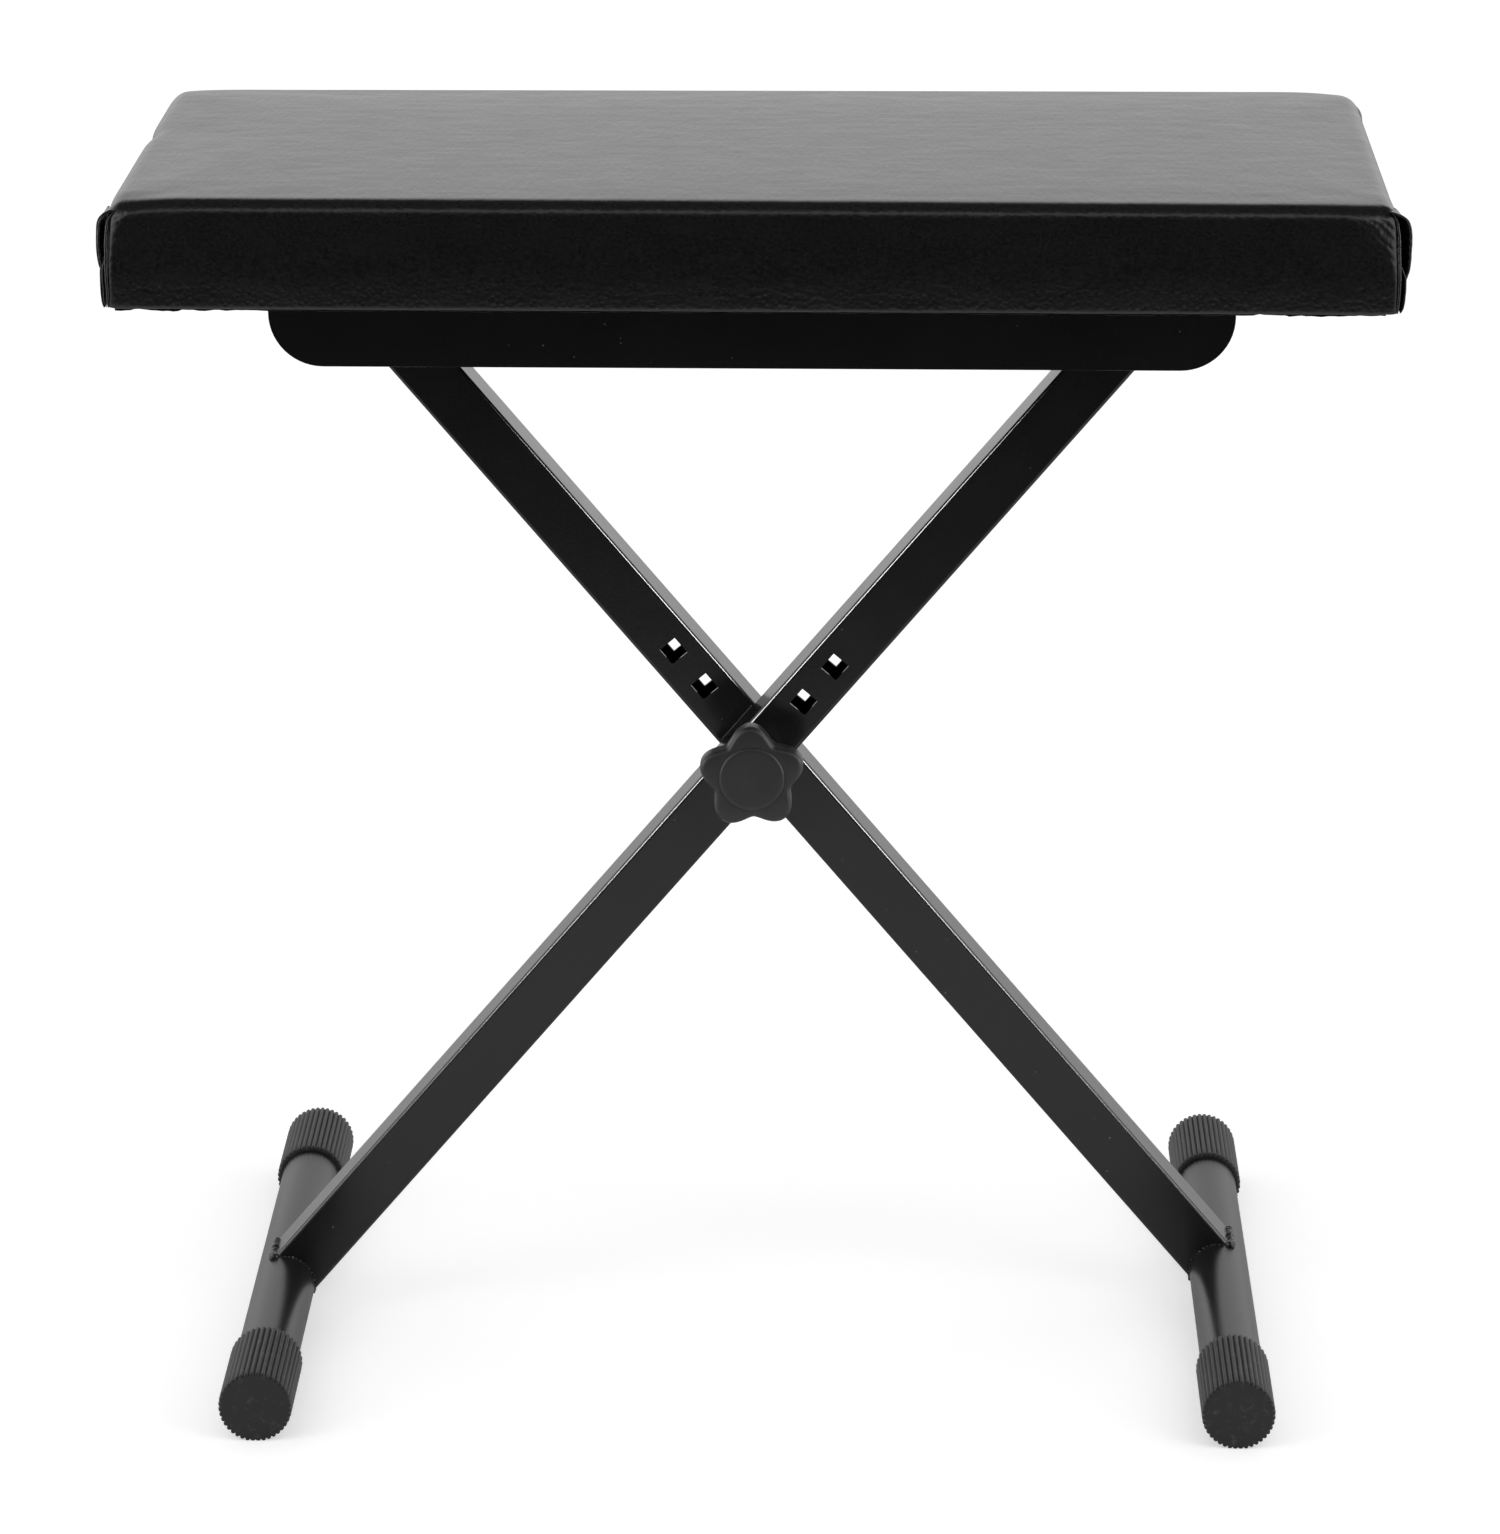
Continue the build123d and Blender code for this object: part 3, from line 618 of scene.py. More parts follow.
# %% Vinyl grain
# Calendered PVC with an embossed leather grain: satin black, a pebble about 2 mm wide that
# breaks the shine into specks, shallow streaks along the roll that mottle the reflection, and
# slanting gathers about 4 mm apart where the wrap is pulled round each upright corner. The pebble
# is drawn longer from front to back, because from a low view it is too fine to show.
vinyl, tree, place = start_finish("pvc_leatherette_embossed")
along = add(tree, "ShaderNodeMapping", {"Vector": place, "Scale": (0.38, 1.0, 1.0)}).outputs[0]
streaks = add(tree, "ShaderNodeTexNoise",
              {"Vector": along, "Scale": per_metre(9), "Detail": 3.0}).outputs["Fac"]
waves = add(tree, "ShaderNodeTexNoise",
            {"Vector": place, "Scale": per_metre(55), "Detail": 2.0}).outputs["Fac"]
pressed = add(tree, "ShaderNodeMapping", {"Vector": place, "Scale": (1.0, 0.25, 1.0)}).outputs[0]
grain = add(tree, "ShaderNodeTexVoronoi", {"Vector": pressed, "Scale": per_metre(1.9)},
            feature="SMOOTH_F1").outputs["Distance"]
fleck = add(tree, "ShaderNodeTexNoise",
            {"Vector": place, "Scale": per_metre(1.3), "Detail": 2.0}).outputs["Fac"]
specks = add(tree, "ShaderNodeMapRange",
             {"Value": fleck, "From Min": 0.35, "From Max": 0.65}).outputs[0]
black = add(tree, "ShaderNodeMix",
            {"Factor": specks, "A": linear("#0a0a0a"), "B": linear("#1a1a1a")},
            data_type="RGBA").outputs["Result"]
gloss = add(tree, "ShaderNodeMapRange",
            {"Value": streaks, "To Min": 0.22, "To Max": 0.32}).outputs[0]
print("the grain takes", len(tree.nodes), "nodes")

# %% [markdown]
# ## Gathers
#
# Where the wrap is pulled round an upright corner it gathers in fine slanting ridges, which die out
# along the side, at the rim and over the board. Modelling them would need a very dense mesh. A sine
# of the distance to the corner, bent by a noise and faded by three ranges, gives them as a bump.

# %% Vinyl gathers
axes = add(tree, "ShaderNodeSeparateXYZ", {"Vector": place}).outputs
out_x = add(tree, "ShaderNodeMath", {0: axes["X"]}, operation="ABSOLUTE").outputs[0]
from_end = add(tree, "ShaderNodeMath", {0: END, 1: out_x}, operation="SUBTRACT").outputs[0]
depth = add(tree, "ShaderNodeMath", {0: TOP, 1: axes["Z"]}, operation="SUBTRACT").outputs[0]
out_y = add(tree, "ShaderNodeMath", {0: axes["Y"]}, operation="ABSOLUTE").outputs[0]
from_front = add(tree, "ShaderNodeMath", {0: FRONT, 1: out_y}, operation="SUBTRACT").outputs[0]
from_corner = add(tree, "ShaderNodeMath", {0: from_end, 1: from_front}, operation="ADD").outputs[0]
slant = add(tree, "ShaderNodeMath", {0: from_corner, 1: 0.85, 2: depth},
            operation="MULTIPLY_ADD").outputs[0]
stray = add(tree, "ShaderNodeTexNoise",
            {"Vector": place, "Scale": per_metre(16), "Detail": 2.0}).outputs["Fac"]
bent = add(tree, "ShaderNodeMath", {0: stray, 1: 9 * MM, 2: slant},
           operation="MULTIPLY_ADD").outputs[0]
phase = add(tree, "ShaderNodeMath", {0: bent, 1: 2 * pi * per_metre(3.6)},
            operation="MULTIPLY").outputs[0]
ridge = add(tree, "ShaderNodeMath", {0: phase}, operation="SINE").outputs[0]
near_corner = add(tree, "ShaderNodeMapRange",
                  {"Value": from_corner, "From Min": 4 * MM, "From Max": 26 * MM,
                   "To Min": 1.0, "To Max": 0.0}).outputs[0]
below_rim = add(tree, "ShaderNodeMapRange",
                {"Value": depth, "From Min": 3 * MM, "From Max": 7 * MM}).outputs[0]
over_board = add(tree, "ShaderNodeMapRange",
                 {"Value": depth, "From Min": 18 * MM, "From Max": 34 * MM,
                  "To Min": 1.0, "To Max": 0.0}).outputs[0]
band = add(tree, "ShaderNodeMath", {0: below_rim, 1: over_board}, operation="MULTIPLY").outputs[0]
reach = add(tree, "ShaderNodeMath", {0: near_corner, 1: band}, operation="MULTIPLY").outputs[0]
gathers = add(tree, "ShaderNodeMath", {0: ridge, 1: reach}, operation="MULTIPLY").outputs[0]

slack = add(tree, "ShaderNodeBump", {"Height": waves, "Distance": 0.3 * MM}).outputs[0]
drawn = add(tree, "ShaderNodeBump",
            {"Height": streaks, "Distance": 0.18 * MM, "Normal": slack}).outputs[0]
pulled = add(tree, "ShaderNodeBump",
             {"Height": gathers, "Distance": 0.05 * MM, "Normal": drawn}).outputs[0]
pebble = add(tree, "ShaderNodeBump",
             {"Height": grain, "Distance": 0.14 * MM, "Normal": pulled}).outputs[0]
close_finish(vinyl, Base_Color=black, Roughness=gloss, IOR=1.54, Normal=pebble)

# %% [markdown]
# ## Cushion block
#
# The block starts as a cube with bevelled edges, and planes cut it into an even net, which keeps
# its edges crisp where a remesh would blur them. The net's points are then moved the way the real
# wrap is pulled: in over the board, back beside each corner, and down at the corners' tops.

# %% Cushion block
def rounded_block(corner_mm, top_mm, under_mm):
    """A block with upright corners, upper edges and lower edges of these radii."""
    bm = bmesh.new()
    bmesh.ops.create_cube(bm, size=1.0)
    bmesh.ops.scale(bm, vec=(2 * END, 2 * FRONT, TOP - UNDER), verts=bm.verts)
    bmesh.ops.translate(bm, vec=(0, 0, (UNDER + TOP) / 2), verts=bm.verts)
    upright = [e for e in bm.edges if abs(e.verts[0].co.z - e.verts[1].co.z) > MM]
    bmesh.ops.bevel(bm, geom=upright, offset=corner_mm * MM, offset_type="OFFSET", segments=10,
                    profile=0.5, affect="EDGES", material=-1)
    for level, radius in ((TOP, top_mm), (UNDER, under_mm)):
        rim = [e for e in bm.edges if all(abs(v.co.z - level) < 1e-6 for v in e.verts)]
        bmesh.ops.bevel(bm, geom=rim, offset=radius * MM, offset_type="OFFSET", segments=4,
                        profile=0.5, affect="EDGES", material=-1)
    return bm


def cut_net(bm, spacing_mm):
    """Cuts a mesh by planes across each axis, this far apart."""
    for axis, (start, stop) in enumerate(((-END, END), (-FRONT, FRONT), (UNDER, TOP))):
        count = round((stop - start) / (spacing_mm * MM))
        normal = [float(k == axis) for k in range(3)]
        for k in range(1, count):
            here = [c * (start + (stop - start) * k / count) for c in normal]
            bmesh.ops.bisect_plane(bm, geom=bm.verts[:] + bm.edges[:] + bm.faces[:], dist=0.05 * MM,
                                   plane_co=here, plane_no=normal)


def turn_in(z, most=0.9, least=1.3):
    """How far the wrap lies inside the block at a height: over the board, and towards the top."""
    below = max(0.0, (BOARD - z) / (BOARD - UNDER))
    above = max(0.0, (z - BOARD) / (TOP - BOARD))
    return (least * below ** 2 + most * above ** 2) * MM


def near(distance, width_mm):
    """1 at a place and 0 beyond this width from it, with a soft end."""
    return max(0.0, 1 - max(distance, 0.0) / (width_mm * MM)) ** 2


def end_in(side, y, z):
    """The same at an end. The left one leans in more towards the back, and has a dent."""
    share = (y + FRONT) / (2 * FRONT)
    dent = 2.6 * exp(-((y / MM - 26) / 13) ** 2)
    lean = 0.7 + 2.7 * share + dent if side < 0 else 2.2 - 1.6 * near(y + FRONT, 45)
    return turn_in(z, lean, 0.3)


# Corners are named by side and face. A facet is as wide and as tall as this in mm and leans by this
# share, and a corner's top droops by this many mm.
FACET = {(-1, -1): (11, 27, 0.30), (1, -1): (23, 32, 0.2),
         (-1, 1): (12, 30, 0.2), (1, 1): (12, 30, 0.2)}
DROOP = {(-1, -1): 4.0, (1, -1): 2.0, (-1, 1): 2.0, (1, 1): 4.0}


def facet(side, face, z, past_end):
    """How far the wrap is pulled back beside a corner: a slanting facet that tapers downwards."""
    wide, tall, lean = FACET[side, face]
    over = max(0.0, wide * (1 - (TOP - z) / (tall * MM)) - past_end / MM)
    return lean * over * over / (over + 2) * MM


def crisp(across, along, round_mm):
    """Scale that turns a corner's quarter circle, seen from above, into a tighter corner."""
    a, b = max(0.0, across / (round_mm * MM)), max(0.0, along / (round_mm * MM))
    return sqrt(a * a + b * b) / (a ** 6 + b ** 6) ** (1 / 6) if a > 0 and b > 0 else 1.0


CORNER, ROUND_TOP, ROUND_UNDER = 7.6, 7.0, 1.2           # radii in mm
NET = 6.0                                                # distance between cuts in mm
bm = rounded_block(CORNER, ROUND_TOP, ROUND_UNDER)
cut_net(bm, NET)
for v in bm.verts:
    x, y, z = v.co
    side, face = (1 if x > 0 else -1), (1 if y > 0 else -1)
    hub_x, hub_y = END - CORNER * MM, FRONT - CORNER * MM
    if face < 0:
        scale = crisp(abs(x) - hub_x, abs(y) - hub_y, CORNER)
        if scale != 1.0:
            x = side * (hub_x + (abs(x) - hub_x) * scale)
            y = face * (hub_y + (abs(y) - hub_y) * scale)
    past_end, past_front = END - abs(x), FRONT - abs(y)
    rise = min(1.0, max(0.0, (z - UNDER) / (TOP - UNDER)))
    share = (y + FRONT) / (2 * FRONT)
    pull = facet(side, face, z, past_end) * near(past_front, 60) ** 0.5
    v.co.x = x * (1 - end_in(side, y, z) / END)
    v.co.y = y * (1 - turn_in(z) / FRONT) - face * pull
    # The top tilts up to the back, droops at each corner, and the wrap's lower edge is drawn down.
    tilt = share * (1.3 + 0.6 * x / END) - (1 - share) * max(0.0, x / END) * 0.5
    v.co.z += rise * tilt * MM
    v.co.z -= DROOP[side, face] * MM * near(past_end, 36) * near(past_front, 26) * rise ** 3
    v.co.z -= 1.5 * MM * max(near(past_end, 8), near(past_front, 8)) * (1 - rise) ** 8
cushion = make_piece(bm, "vinyl_cushion", vinyl, "seat", ["seat_cover", "seat_foam"], 60.0)
print("net of", len(cushion.data.vertices), "points")

# %% [markdown]
# ## Blowing up
#
# Foam presses the vinyl out a little everywhere. A proportional edit could fake that, but cloth
# with pressure inside finds it by itself. Near the board and along the edges the real vinyl is
# pulled tight, so a point there may hardly move, while the middle of the top crowns by a
# millimetre or so. Each point's movement is capped by where it is.

# %% Blow the cushion up
CROWN, RIM, SIDE_SWELL = 1.3 * MM, 0.25 * MM, 0.45 * MM  # the most that cloth may move a point
CROWN_WIDTH = 85 * MM                                    # from the rim to the full crown
PRESSURE, FRAMES = 4.0, 20


def may_move(point):
    """How far the cloth may carry a point: little near an edge or the board, most on the top."""
    inside = min(END - abs(point.x), FRONT - point.y, (FRONT + point.y) / 2)
    if point.z > TOP - 2 * MM:
        share = min(1.0, max(0.0, inside) / CROWN_WIDTH)
        return RIM + (CROWN - RIM) * sin(share * pi / 2)
    rise = max(0.0, (point.z - BOARD) / (TOP - BOARD))
    return RIM + SIDE_SWELL * sin(min(rise, 1.0) * pi)


def apply_modifiers(piece):
    """Replaces a piece's mesh with what its modifiers make of it."""
    graph = bpy.context.evaluated_depsgraph_get()
    graph.update()
    fresh = bpy.data.meshes.new_from_object(piece.evaluated_get(graph))
    piece.modifiers.clear()
    piece.data = fresh


before = [v.co.copy() for v in cushion.data.vertices]
held = cushion.vertex_groups.new(name="stapled_under")
held.add([v.index for v in cushion.data.vertices if v.co.z < UNDER + 3 * MM], 1.0, "REPLACE")
cloth = cushion.modifiers.new("cloth", "CLOTH")
cloth.settings.use_pressure = True
cloth.settings.uniform_pressure_force = PRESSURE
cloth.settings.vertex_group_mass = "stapled_under"
cloth.settings.effector_weights.gravity = 0.0
for step in range(1, FRAMES + 1):
    bpy.context.scene.frame_set(step)
apply_modifiers(cushion)
bpy.context.scene.frame_set(1)
furthest = 0.0
for v, old in zip(cushion.data.vertices, before):
    move = v.co - old
    furthest = max(furthest, move.length)
    if move.length > may_move(old):
        v.co = old + move * (may_move(old) / move.length)
cushion.vertex_groups.clear()
print("the cloth moved up to", round(furthest / MM, 1), "mm before the cap")

# %% [markdown]
# ## Corner folds
#
# At each corner the vinyl of the end is folded over the vinyl of the front, as on a made bed.
# The fold stands off the end like a half open pocket, a second layer shows below it, and the
# front's own edge is a rolled lip. Sculpting them would be slow to repeat. A fold is a grid whose
# points are laid on the end by a few curves and given the vinyl's thickness.

# %% Corner folds
def shaped(stops, t):
    """The value at t on a line through (t, value) stops."""
    for (t0, v0), (t1, v1) in zip(stops, stops[1:]):
        if t <= t1:
            return v0 + (v1 - v0) * (t - t0) / (t1 - t0)
    return stops[-1][1]


# How far the two layers stand off the end in mm, from top (0) to foot (1).
POCKET = [(0.0, -0.9), (0.06, 1.2), (0.14, 2.3), (0.26, 2.8), (0.5, 2.95), (0.7, 2.85),
          (0.88, 2.4), (1.0, 1.7)]
SECOND = [(0.0, 0.2), (0.25, 1.5), (0.5, 1.6), (0.75, 1.5), (0.9, 1.2), (1.0, 0.5)]
VINYL_THICK = 0.9 * MM
EDGE = FRONT - 3.6 * MM                      # where the fold's own edge stands, behind the front


def end_at(side, face, z, back_mm=0.0):
    """Where the end's surface is at a height near a corner, with the rounding of its upper edge."""
    top = TOP - DROOP[side, face] * MM * near(back_mm * MM, 26)
    over = min(ROUND_TOP, max(0.0, (z - top) / MM + ROUND_TOP))
    rounding = ROUND_TOP - sqrt(ROUND_TOP ** 2 - over * over)
    return END - end_in(side, face * FRONT, z) - rounding * MM


def fold(side, face, top_mm, foot_mm, stand_off, swell, reach_mm, slant_mm):
    """One layer at a corner. Heights are above the underside, and it reaches back along the end."""
    bm = bmesh.new()
    bmesh.ops.create_grid(bm, x_segments=12, y_segments=20, size=0.5)
    for v in bm.verts:
        s, t = v.co.x + 0.5, 0.5 - v.co.y
        z = UNDER + max(top_mm + (foot_mm - slant_mm * s - top_mm) * t, -1.2) * MM
        back = reach_mm * (0.25 + 0.75 * t ** 0.7) * s ** 1.5
        ease = 1 - s * s * (3 - 2 * s)
        off = (shaped(stand_off, t) * swell * ease + 0.25 - 0.75 * max(0.0, s - 0.9) / 0.1) * MM
        wobble = 0.5 * noise.noise(Vector((side * 3.1, face * 5.7, z / MM / 7)))
        v.co = (side * (end_at(side, face, z, back) + off), face * (EDGE - (back + wobble) * MM), z)
    bmesh.ops.recalc_face_normals(bm, faces=bm.faces)
    bmesh.ops.solidify(bm, geom=bm.faces[:], thickness=VINYL_THICK)
    return bm


ROPE_STEPS, ROPE_SIDES = 30, 8


def rope(side, face, top_mm, foot_mm, out_mm, edge, radius_mm):
    """A rolled edge down a corner, this far out from the end and this deep at each height."""
    def ring(k):
        t = k / ROPE_STEPS
        z = UNDER + (top_mm + (foot_mm - top_mm) * t) * MM
        sway = 0.3 * noise.noise(Vector((side * 7.3, radius_mm, z / MM / 6)))
        thick = radius_mm * min(1.0, 0.3 + 8 * min(t, 1 - t))

        def point(angle):
            return (side * (end_at(side, face, z) + (out_mm(t) + sway + thick * cos(angle)) * MM),
                    face * (edge(z) + thick * sin(angle) * MM), z)
        return point

    bm = bmesh.new()
    draw_rings(bm, ROPE_SIDES, [ring(k) for k in range(ROPE_STEPS + 1)])
    bmesh.ops.recalc_face_normals(bm, faces=bm.faces)
    return bm


print("the pocket stands off by up to", max(off for _, off in POCKET), "mm")

# %% [markdown]
# ## Laying the folds on
#
# Each side was folded by hand, so the two differ, and the folds at the back are pressed flatter.
# Their layers could be pieces of their own, but here they go straight into the cushion's mesh, so
# that the cover stays one piece and one subdivision softens all of it.

# %% Lay the folds on
# Each side has the height of the pocket's top and foot and of the second layer's top in mm, how
# far its front folds stand off, as a share, and how far its lip leans in, in mm.
SIDES = ((-1, 41.8, 17.3, 21.0, 1.0, 0.6), (1, 44.3, 14.5, 20.0, 1.5, 1.2))
BACK_SWELL = 0.35
FLOOR_OF_FOLD = -1.0         # where folds and lips end, in mm above the cushion's underside


def corner_layers(side, face, top, foot, second, swell, lean):
    """The two folds at a corner, the rolled edge of each, and the front's own rolled lip."""
    def pocket_edge(t):
        return shaped(POCKET, t) * swell - 0.3

    def second_edge(t):
        return shaped(SECOND, t) * swell - 0.3

    def lip_out(t):
        return -0.6 - lean * max(0.0, 1 - t / 0.45) ** 1.5

    def lip_depth(z):
        return FRONT - turn_in(z) - facet(side, face, z, MM) - 0.7 * MM

    return [fold(side, face, top, foot, POCKET, swell, 38.0, 12.0),
            fold(side, face, second, FLOOR_OF_FOLD, SECOND, swell, 20.0, 0.0),
            rope(side, face, top, foot, pocket_edge, lambda z: EDGE, 0.75),
            rope(side, face, second, FLOOR_OF_FOLD, second_edge, lambda z: EDGE, 0.6),
            rope(side, face, top - 0.6, FLOOR_OF_FOLD, lip_out, lip_depth, 0.7)]


wrap = bmesh.new()
wrap.from_mesh(cushion.data)
for side, top, foot, second, front_swell, lean in SIDES:
    for face in (-1, 1):
        swell = front_swell if face < 0 else BACK_SWELL
        for layer in corner_layers(side, face, top, foot, second, swell, lean):
            part = bpy.data.meshes.new("layer")
            layer.to_mesh(part)
            layer.free()
            wrap.from_mesh(part)
            bpy.data.meshes.remove(part)
bmesh.ops.translate(wrap, verts=wrap.verts, vec=(SET_RIGHT, 0, 0))
for face in wrap.faces:
    face.smooth = True
wrap.to_mesh(cushion.data)
wrap.free()
fine = cushion.modifiers.new("finer", "SUBSURF")
fine.levels = fine.render_levels = 1
spans = [max(v.co[k] for v in cushion.data.vertices) - min(v.co[k] for v in cushion.data.vertices)
         for k in range(3)]
print("cushion measures", [round(s, 4) for s in spans], "m")

# %% [markdown]
# ## Flags
#
# The strips are there for the edges of the legs. On the broad, shiny seat they would glare from
# behind, and on the knob they are too hard, so a photographer sets black cards, called flags,
# between them. Cards in the scene would show in other reflections. Light linking does the same
# by name: a lamp lights only what is in its collection.

# %% Keep the strips on the legs
legs = bpy.data.collections.new("lit_by_the_strips")
for name in ("front_leg", "rear_leg"):
    legs.objects.link(bpy.data.objects[name])
for strip in ("left_strip", "right_strip"):
    bpy.data.objects[strip].light_linking.receiver_collection = legs

# %% [markdown]
# ## Spunbonded cloth
#
# Under the seat is a cloth of melted fibres, pressed together at points rather than woven. A weave
# would be wrong here: a cell pattern with little randomness gives the points, and a noise the
# fibres between them.

# %% Spunbonded cloth
# Spunbonded polypropylene: matt black, with a grid of fused points about 1.2 mm apart.
spunbond, tree, place = start_finish("polypropylene_spunbonded_black")
dots = add(tree, "ShaderNodeTexVoronoi",
           {"Vector": place, "Scale": per_metre(1.2), "Randomness": 0.25},
           feature="F1").outputs["Distance"]
fibres = add(tree, "ShaderNodeTexNoise",
             {"Vector": place, "Scale": per_metre(0.9), "Detail": 4.0}).outputs["Fac"]
blend = add(tree, "ShaderNodeMix",
            {"Factor": fibres, "A": linear("#0d0d0d"), "B": linear("#1d1d1e")},
            data_type="RGBA").outputs["Result"]
pressed = add(tree, "ShaderNodeBump", {"Height": dots, "Distance": 0.12 * MM}).outputs[0]
close_finish(spunbond, Base_Color=blend, Roughness=0.82, IOR=1.49, Normal=pressed)

# %% [markdown]
# ## Dust cloth
#
# The cloth is stapled under the seat to hide the board. It was cut with shears, so its edge is
# ragged and droops a little past the staples, and that is the dark fringe under the front of the
# seat. It is a fine grid, flat where the rails press it to the board, whose outer centimetre hangs
# by a noise. A Solidify modifier gives it its thickness.

# %% Dust cloth
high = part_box("dust_cover")[1]
HANGING = 9 * MM             # how wide the border is that hangs
CLOTH_X, CLOTH_Y = END - 4.5 * MM, FRONT - 3.4 * MM
bm = bmesh.new()
bmesh.ops.create_grid(bm, x_segments=240, y_segments=100, size=1.0)
for v in bm.verts:
    edge_on = max(abs(v.co.x), abs(v.co.y)) > 0.999
    x, y = v.co.x * CLOTH_X, v.co.y * CLOTH_Y
    inside = min(CLOTH_X - abs(x), CLOTH_Y - abs(y))
    hang = max(0.0, 1 - inside / HANGING) ** 1.4
    slow = noise.noise(Vector((x / (26 * MM), y / (26 * MM), 0.0)))
    quick = noise.noise(Vector((x / (4 * MM), y / (4 * MM), 5.0)))
    drop = hang * max(0.8, 1.6 + 0.6 * slow + 0.9 * quick)
    ragged = 0.7 * quick * edge_on
    v.co = (x * (1 - ragged * MM / CLOTH_X), y * (1 - ragged * MM / CLOTH_Y),
            high.z - (0.05 + drop) * MM)
bmesh.ops.recalc_face_normals(bm, faces=bm.faces)
dust_cloth = make_piece(bm, "dust_cloth", spunbond, "seat", ["dust_cover"])
skin = dust_cloth.modifiers.new("thickness", "SOLIDIFY")
skin.thickness = 0.35 * MM
skin.offset = -1.0

# %% [markdown]
# ## Weld metal
#
# The welds were enamelled with the legs, but a rough bead holds little paint, so steel shows on
# its crests. One noise drives it all: it is the bump, and where it is highest the colour turns to
# steel and the surface to metal.

# %% Weld metal
# Arc weld under a thin coat of enamel: black in the hollows, with steel grinning through on the
# crests about every 2 mm.
weld_metal, tree, place = start_finish("steel_arc_weld_thinly_enamelled")
cover = add(tree, "ShaderNodeTexNoise",
            {"Vector": place, "Scale": per_metre(2.0), "Detail": 3.0}).outputs["Fac"]
bare = add(tree, "ShaderNodeMapRange",
           {"Value": cover, "From Min": 0.55, "From Max": 0.7}).outputs[0]
tone = add(tree, "ShaderNodeMix", {"Factor": bare, "A": linear("#141414"), "B": linear("#8d8d8c")},
           data_type="RGBA").outputs["Result"]
skin = add(tree, "ShaderNodeBump", {"Height": cover, "Distance": 0.25 * MM}).outputs[0]
close_finish(weld_metal, Base_Color=tone, Metallic=bare, Roughness=0.32, IOR=1.5, Normal=skin)

# %% [markdown]
# ## Welds
#
# Each leg is coped to sit on its foot tube and welded all round. A hand-laid bead is a row of
# overlapping lumps, so small spheres are set along the joint: round the arc on the front and
# back of the leg and straight along its two sides, with a heavier one where the welder started.
# A swept tube would be too even.

# %% Weld beads
ARC_LUMPS, SIDE_LUMPS = 17, 15


def weld(leg, cross_tube, foot, name):
    """Lumps of weld where a leg stands on its foot tube."""
    low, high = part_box(foot)
    hub = Vector(((low.x + high.x) / 2, 0, (low.z + high.z) / 2))
    pipe = (high.x - low.x) / 2
    front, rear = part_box(leg)[0].y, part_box(leg)[1].y
    half = (rear - front) / 2
    low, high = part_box(cross_tube)
    up = (Vector(((low.x + high.x) / 2, 0, (low.z + high.z) / 2)) - hub).normalized()
    across = Vector((-up.z, 0, up.x))
    if across.z < 0:
        across = -across                    # towards the upper side of the leaning leg
    rise = sqrt(pipe ** 2 - half ** 2)
    spread = atan2(half, rise)
    line = []
    for y in (front, rear):
        for k in range(ARC_LUMPS):
            turn = spread * (k / (ARC_LUMPS // 2) - 1)
            rim = pipe * (up * cos(turn) + across * sin(turn))
            line.append((hub + rim + Vector((0, y, 0)), 0.6))
    for edge in (-1, 1):
        for k in range(SIDE_LUMPS):
            along = front + (rear - front) * k / (SIDE_LUMPS - 1)
            seam = hub + up * rise + across * half * edge
            line.append((seam + Vector((0, along, 0)), 1.3 + 0.4 * edge))
    corner = hub + up * rise + across * half
    line += [(corner + Vector((0, front + 0.6 * MM, 0)) + up * 1.0 * MM, 2.6),
             (corner + Vector((0, front + 3.2 * MM, 0)), 2.1),
             (corner + Vector((0, rear - 1 * MM, 0)), 1.8)]
    bm = bmesh.new()
    dice = random.Random(7)
    for place, size in line:
        lump = size * dice.uniform(0.8, 1.2) * MM
        shift = Vector([dice.uniform(-0.25, 0.25) * MM for _ in range(3)])
        bmesh.ops.create_icosphere(bm, subdivisions=2, radius=lump,
                                   matrix=Matrix.Translation(place + shift))
    return make_piece(bm, name, weld_metal, body_of[leg], sharp=80.0)


weld("front_leg_tube", "front_leg_cross_tube", "left_foot_tube", "left_foot_weld")
weld("rear_leg_tube", "rear_leg_cross_tube", "right_foot_tube", "right_foot_weld")

# %% [markdown]
# ## Nylon
#
# The bushes in the cross tubes are natural nylon, turned on a lathe. They hardly show, but from
# below they are the one pale thing in the frame. Two noises do: one for the milky cloud and a fine
# one for the tool's marks.

# %% Nylon
# Cast nylon turned to size: milky, slightly waxy, with fine rings from the lathe.
nylon, tree, place = start_finish("nylon_turned_natural")
rings = add(tree, "ShaderNodeTexNoise",
            {"Vector": place, "Scale": per_metre(0.6), "Detail": 2.0}).outputs["Fac"]
cloud = add(tree, "ShaderNodeTexNoise",
            {"Vector": place, "Scale": per_metre(6), "Detail": 2.0}).outputs["Fac"]
milk = add(tree, "ShaderNodeMix", {"Factor": cloud, "A": linear("#d8d3c4"), "B": linear("#e9e6dc")},
           data_type="RGBA").outputs["Result"]
skin = add(tree, "ShaderNodeBump", {"Height": rings, "Distance": 0.02 * MM}).outputs[0]
close_finish(nylon, Base_Color=milk, Roughness=0.4, IOR=1.53, Normal=skin)

# %% [markdown]
# ## Brass
#
# A knob's insert is turned from brass bar and moulded in. It is a metal, so its colour tints the
# shine. One fine noise stands for the cutting marks and drives both colour and roughness.

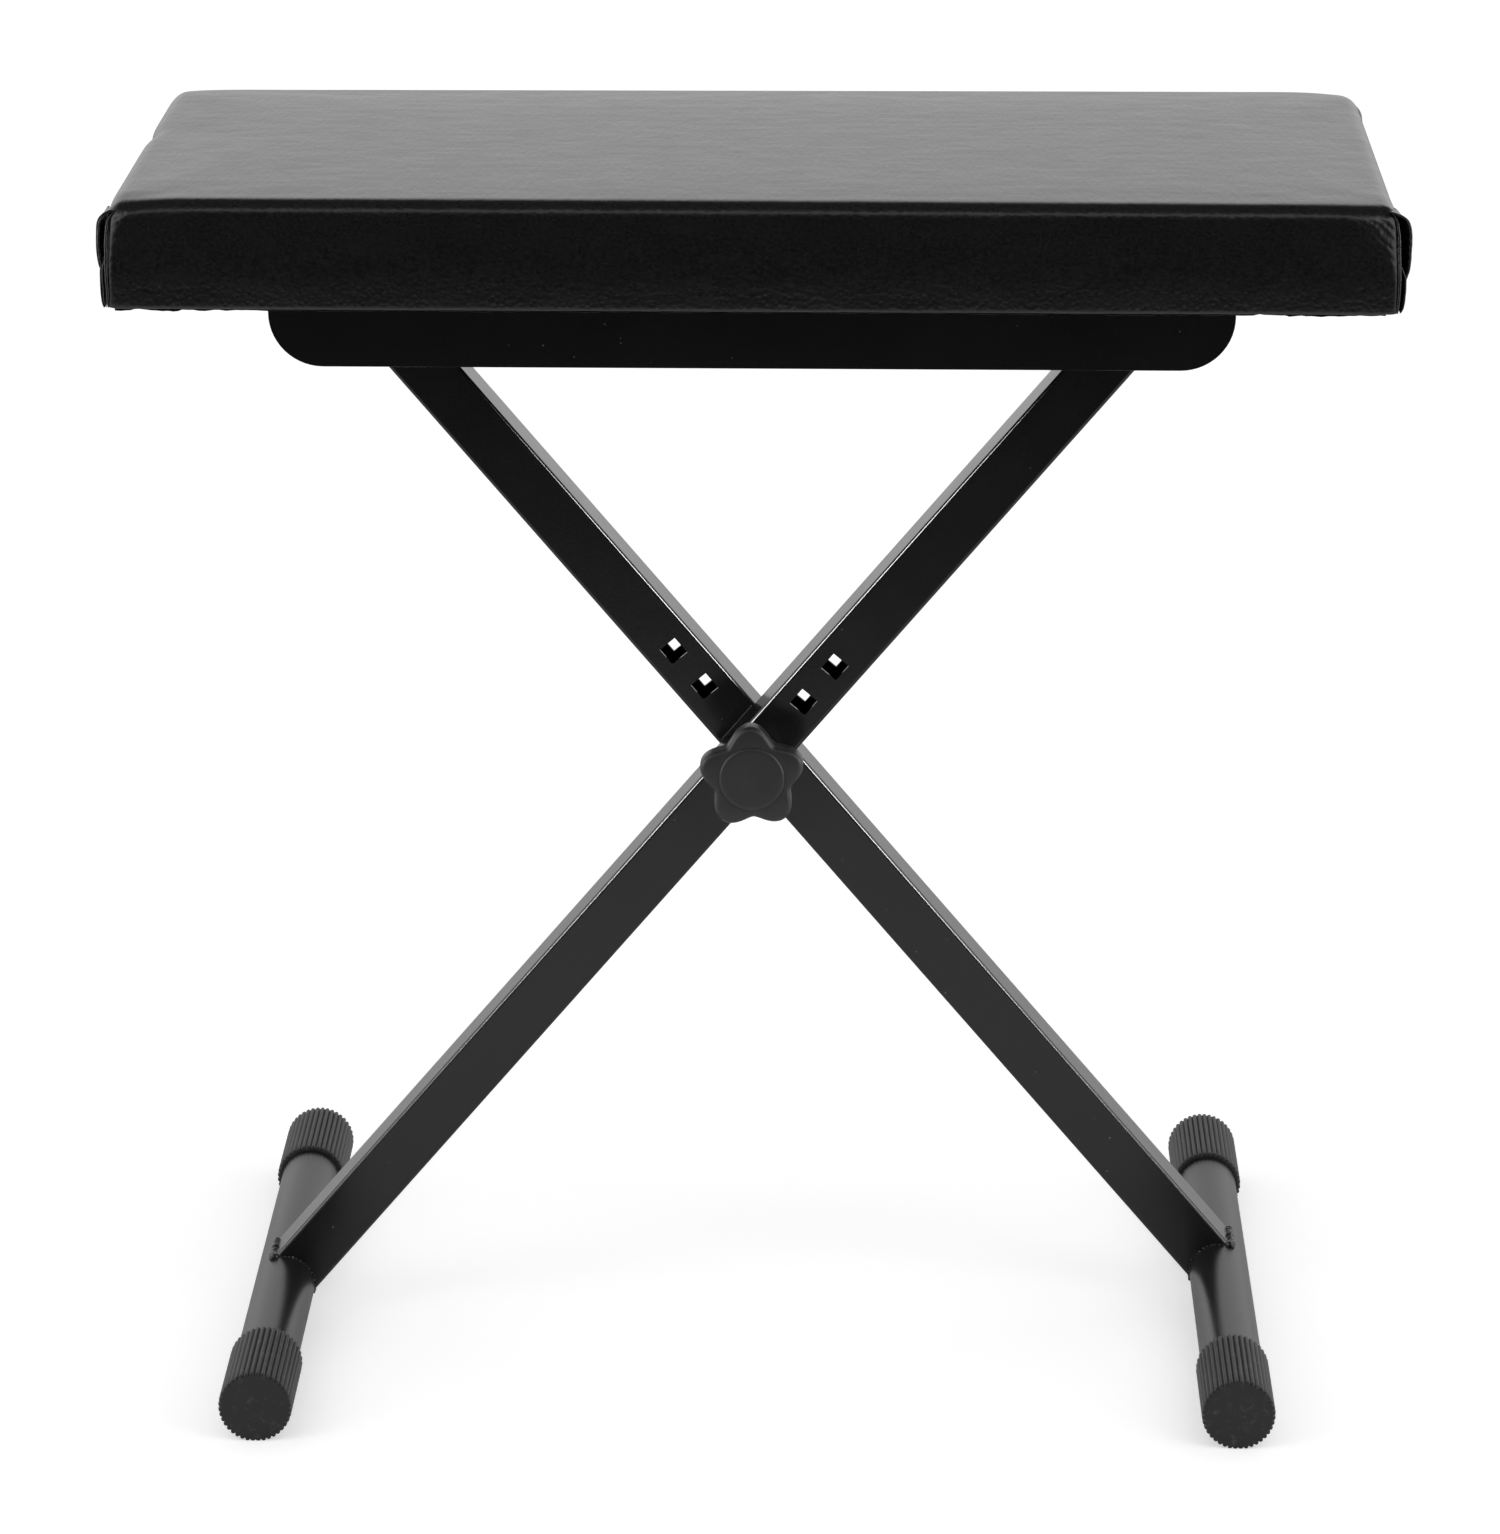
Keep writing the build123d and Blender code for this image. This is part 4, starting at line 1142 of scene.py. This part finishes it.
# %% Brass
# Free-cutting brass turned on an automatic lathe: warm metal with fine cutting marks.
brass, tree, place = start_finish("brass_turned")
marks = add(tree, "ShaderNodeTexNoise",
            {"Vector": place, "Scale": per_metre(0.5), "Detail": 3.0}).outputs["Fac"]
gloss = add(tree, "ShaderNodeMapRange", {"Value": marks, "To Min": 0.2, "To Max": 0.4}).outputs[0]
tarnish = add(tree, "ShaderNodeMix",
              {"Factor": marks, "A": linear("#b8944a"), "B": linear("#d6b46c")},
              data_type="RGBA").outputs["Result"]
close_finish(brass, Base_Color=tarnish, Metallic=1.0, Roughness=gloss)

# %% [markdown]
# ## Plywood
#
# The board is birch plywood, peeled from the log, which gives broad wavy figure. A noise that is
# squeezed along the sheet by a Mapping node draws it out, and a finer one gives the pores. A wave
# texture would be too regular.

# %% Plywood
# Rotary-cut birch plywood, sanded: pale, with broad wavy figure along the sheet and short pores.
plywood, tree, place = start_finish("birch_plywood_sanded")
grain_way = add(tree, "ShaderNodeMapping", {"Vector": place, "Scale": (0.08, 1.0, 1.0)}).outputs[0]
figure = add(tree, "ShaderNodeTexNoise", {"Vector": grain_way, "Scale": per_metre(9), "Detail": 5.0,
                                          "Distortion": 0.6}).outputs["Fac"]
pores = add(tree, "ShaderNodeTexNoise",
            {"Vector": grain_way, "Scale": per_metre(0.8), "Detail": 2.0}).outputs["Fac"]
wood = add(tree, "ShaderNodeMix",
           {"Factor": figure, "A": linear("#b98f5f"), "B": linear("#e0c194")},
           data_type="RGBA").outputs["Result"]
skin = add(tree, "ShaderNodeBump", {"Height": pores, "Distance": 0.05 * MM}).outputs[0]
close_finish(plywood, Base_Color=wood, Roughness=0.65, IOR=1.5, Normal=skin)

# %% [markdown]
# ## Parts that keep their CAD shape
#
# Screws, washers, nuts, studs, bolt, bushes and the board are already the right shape in the
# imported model. A copy would gain nothing, so they only take a finish, given to the node's own
# material slot.

# %% Finishes for the nodes that stay
finish_of = {zinc: ("rail_screws", "rail_washers", "tee_nuts", "clamp_bolt_head_half",
                    "clamp_bolt_threaded_half", "knob_washer", "cover_staples",
                    "right_pivot_studs", "left_pivot_studs"),
             nylon: ("front_leg_bushes", "rear_leg_bushes"),
             brass: ("knob_insert",),
             plywood: ("seat_board",)}
for finish, nodes in finish_of.items():
    for node in nodes:
        frame["nodes"][node].data.materials.clear()
        frame["nodes"][node].data.materials.append(finish)
    print(finish.name, "on", ", ".join(nodes))
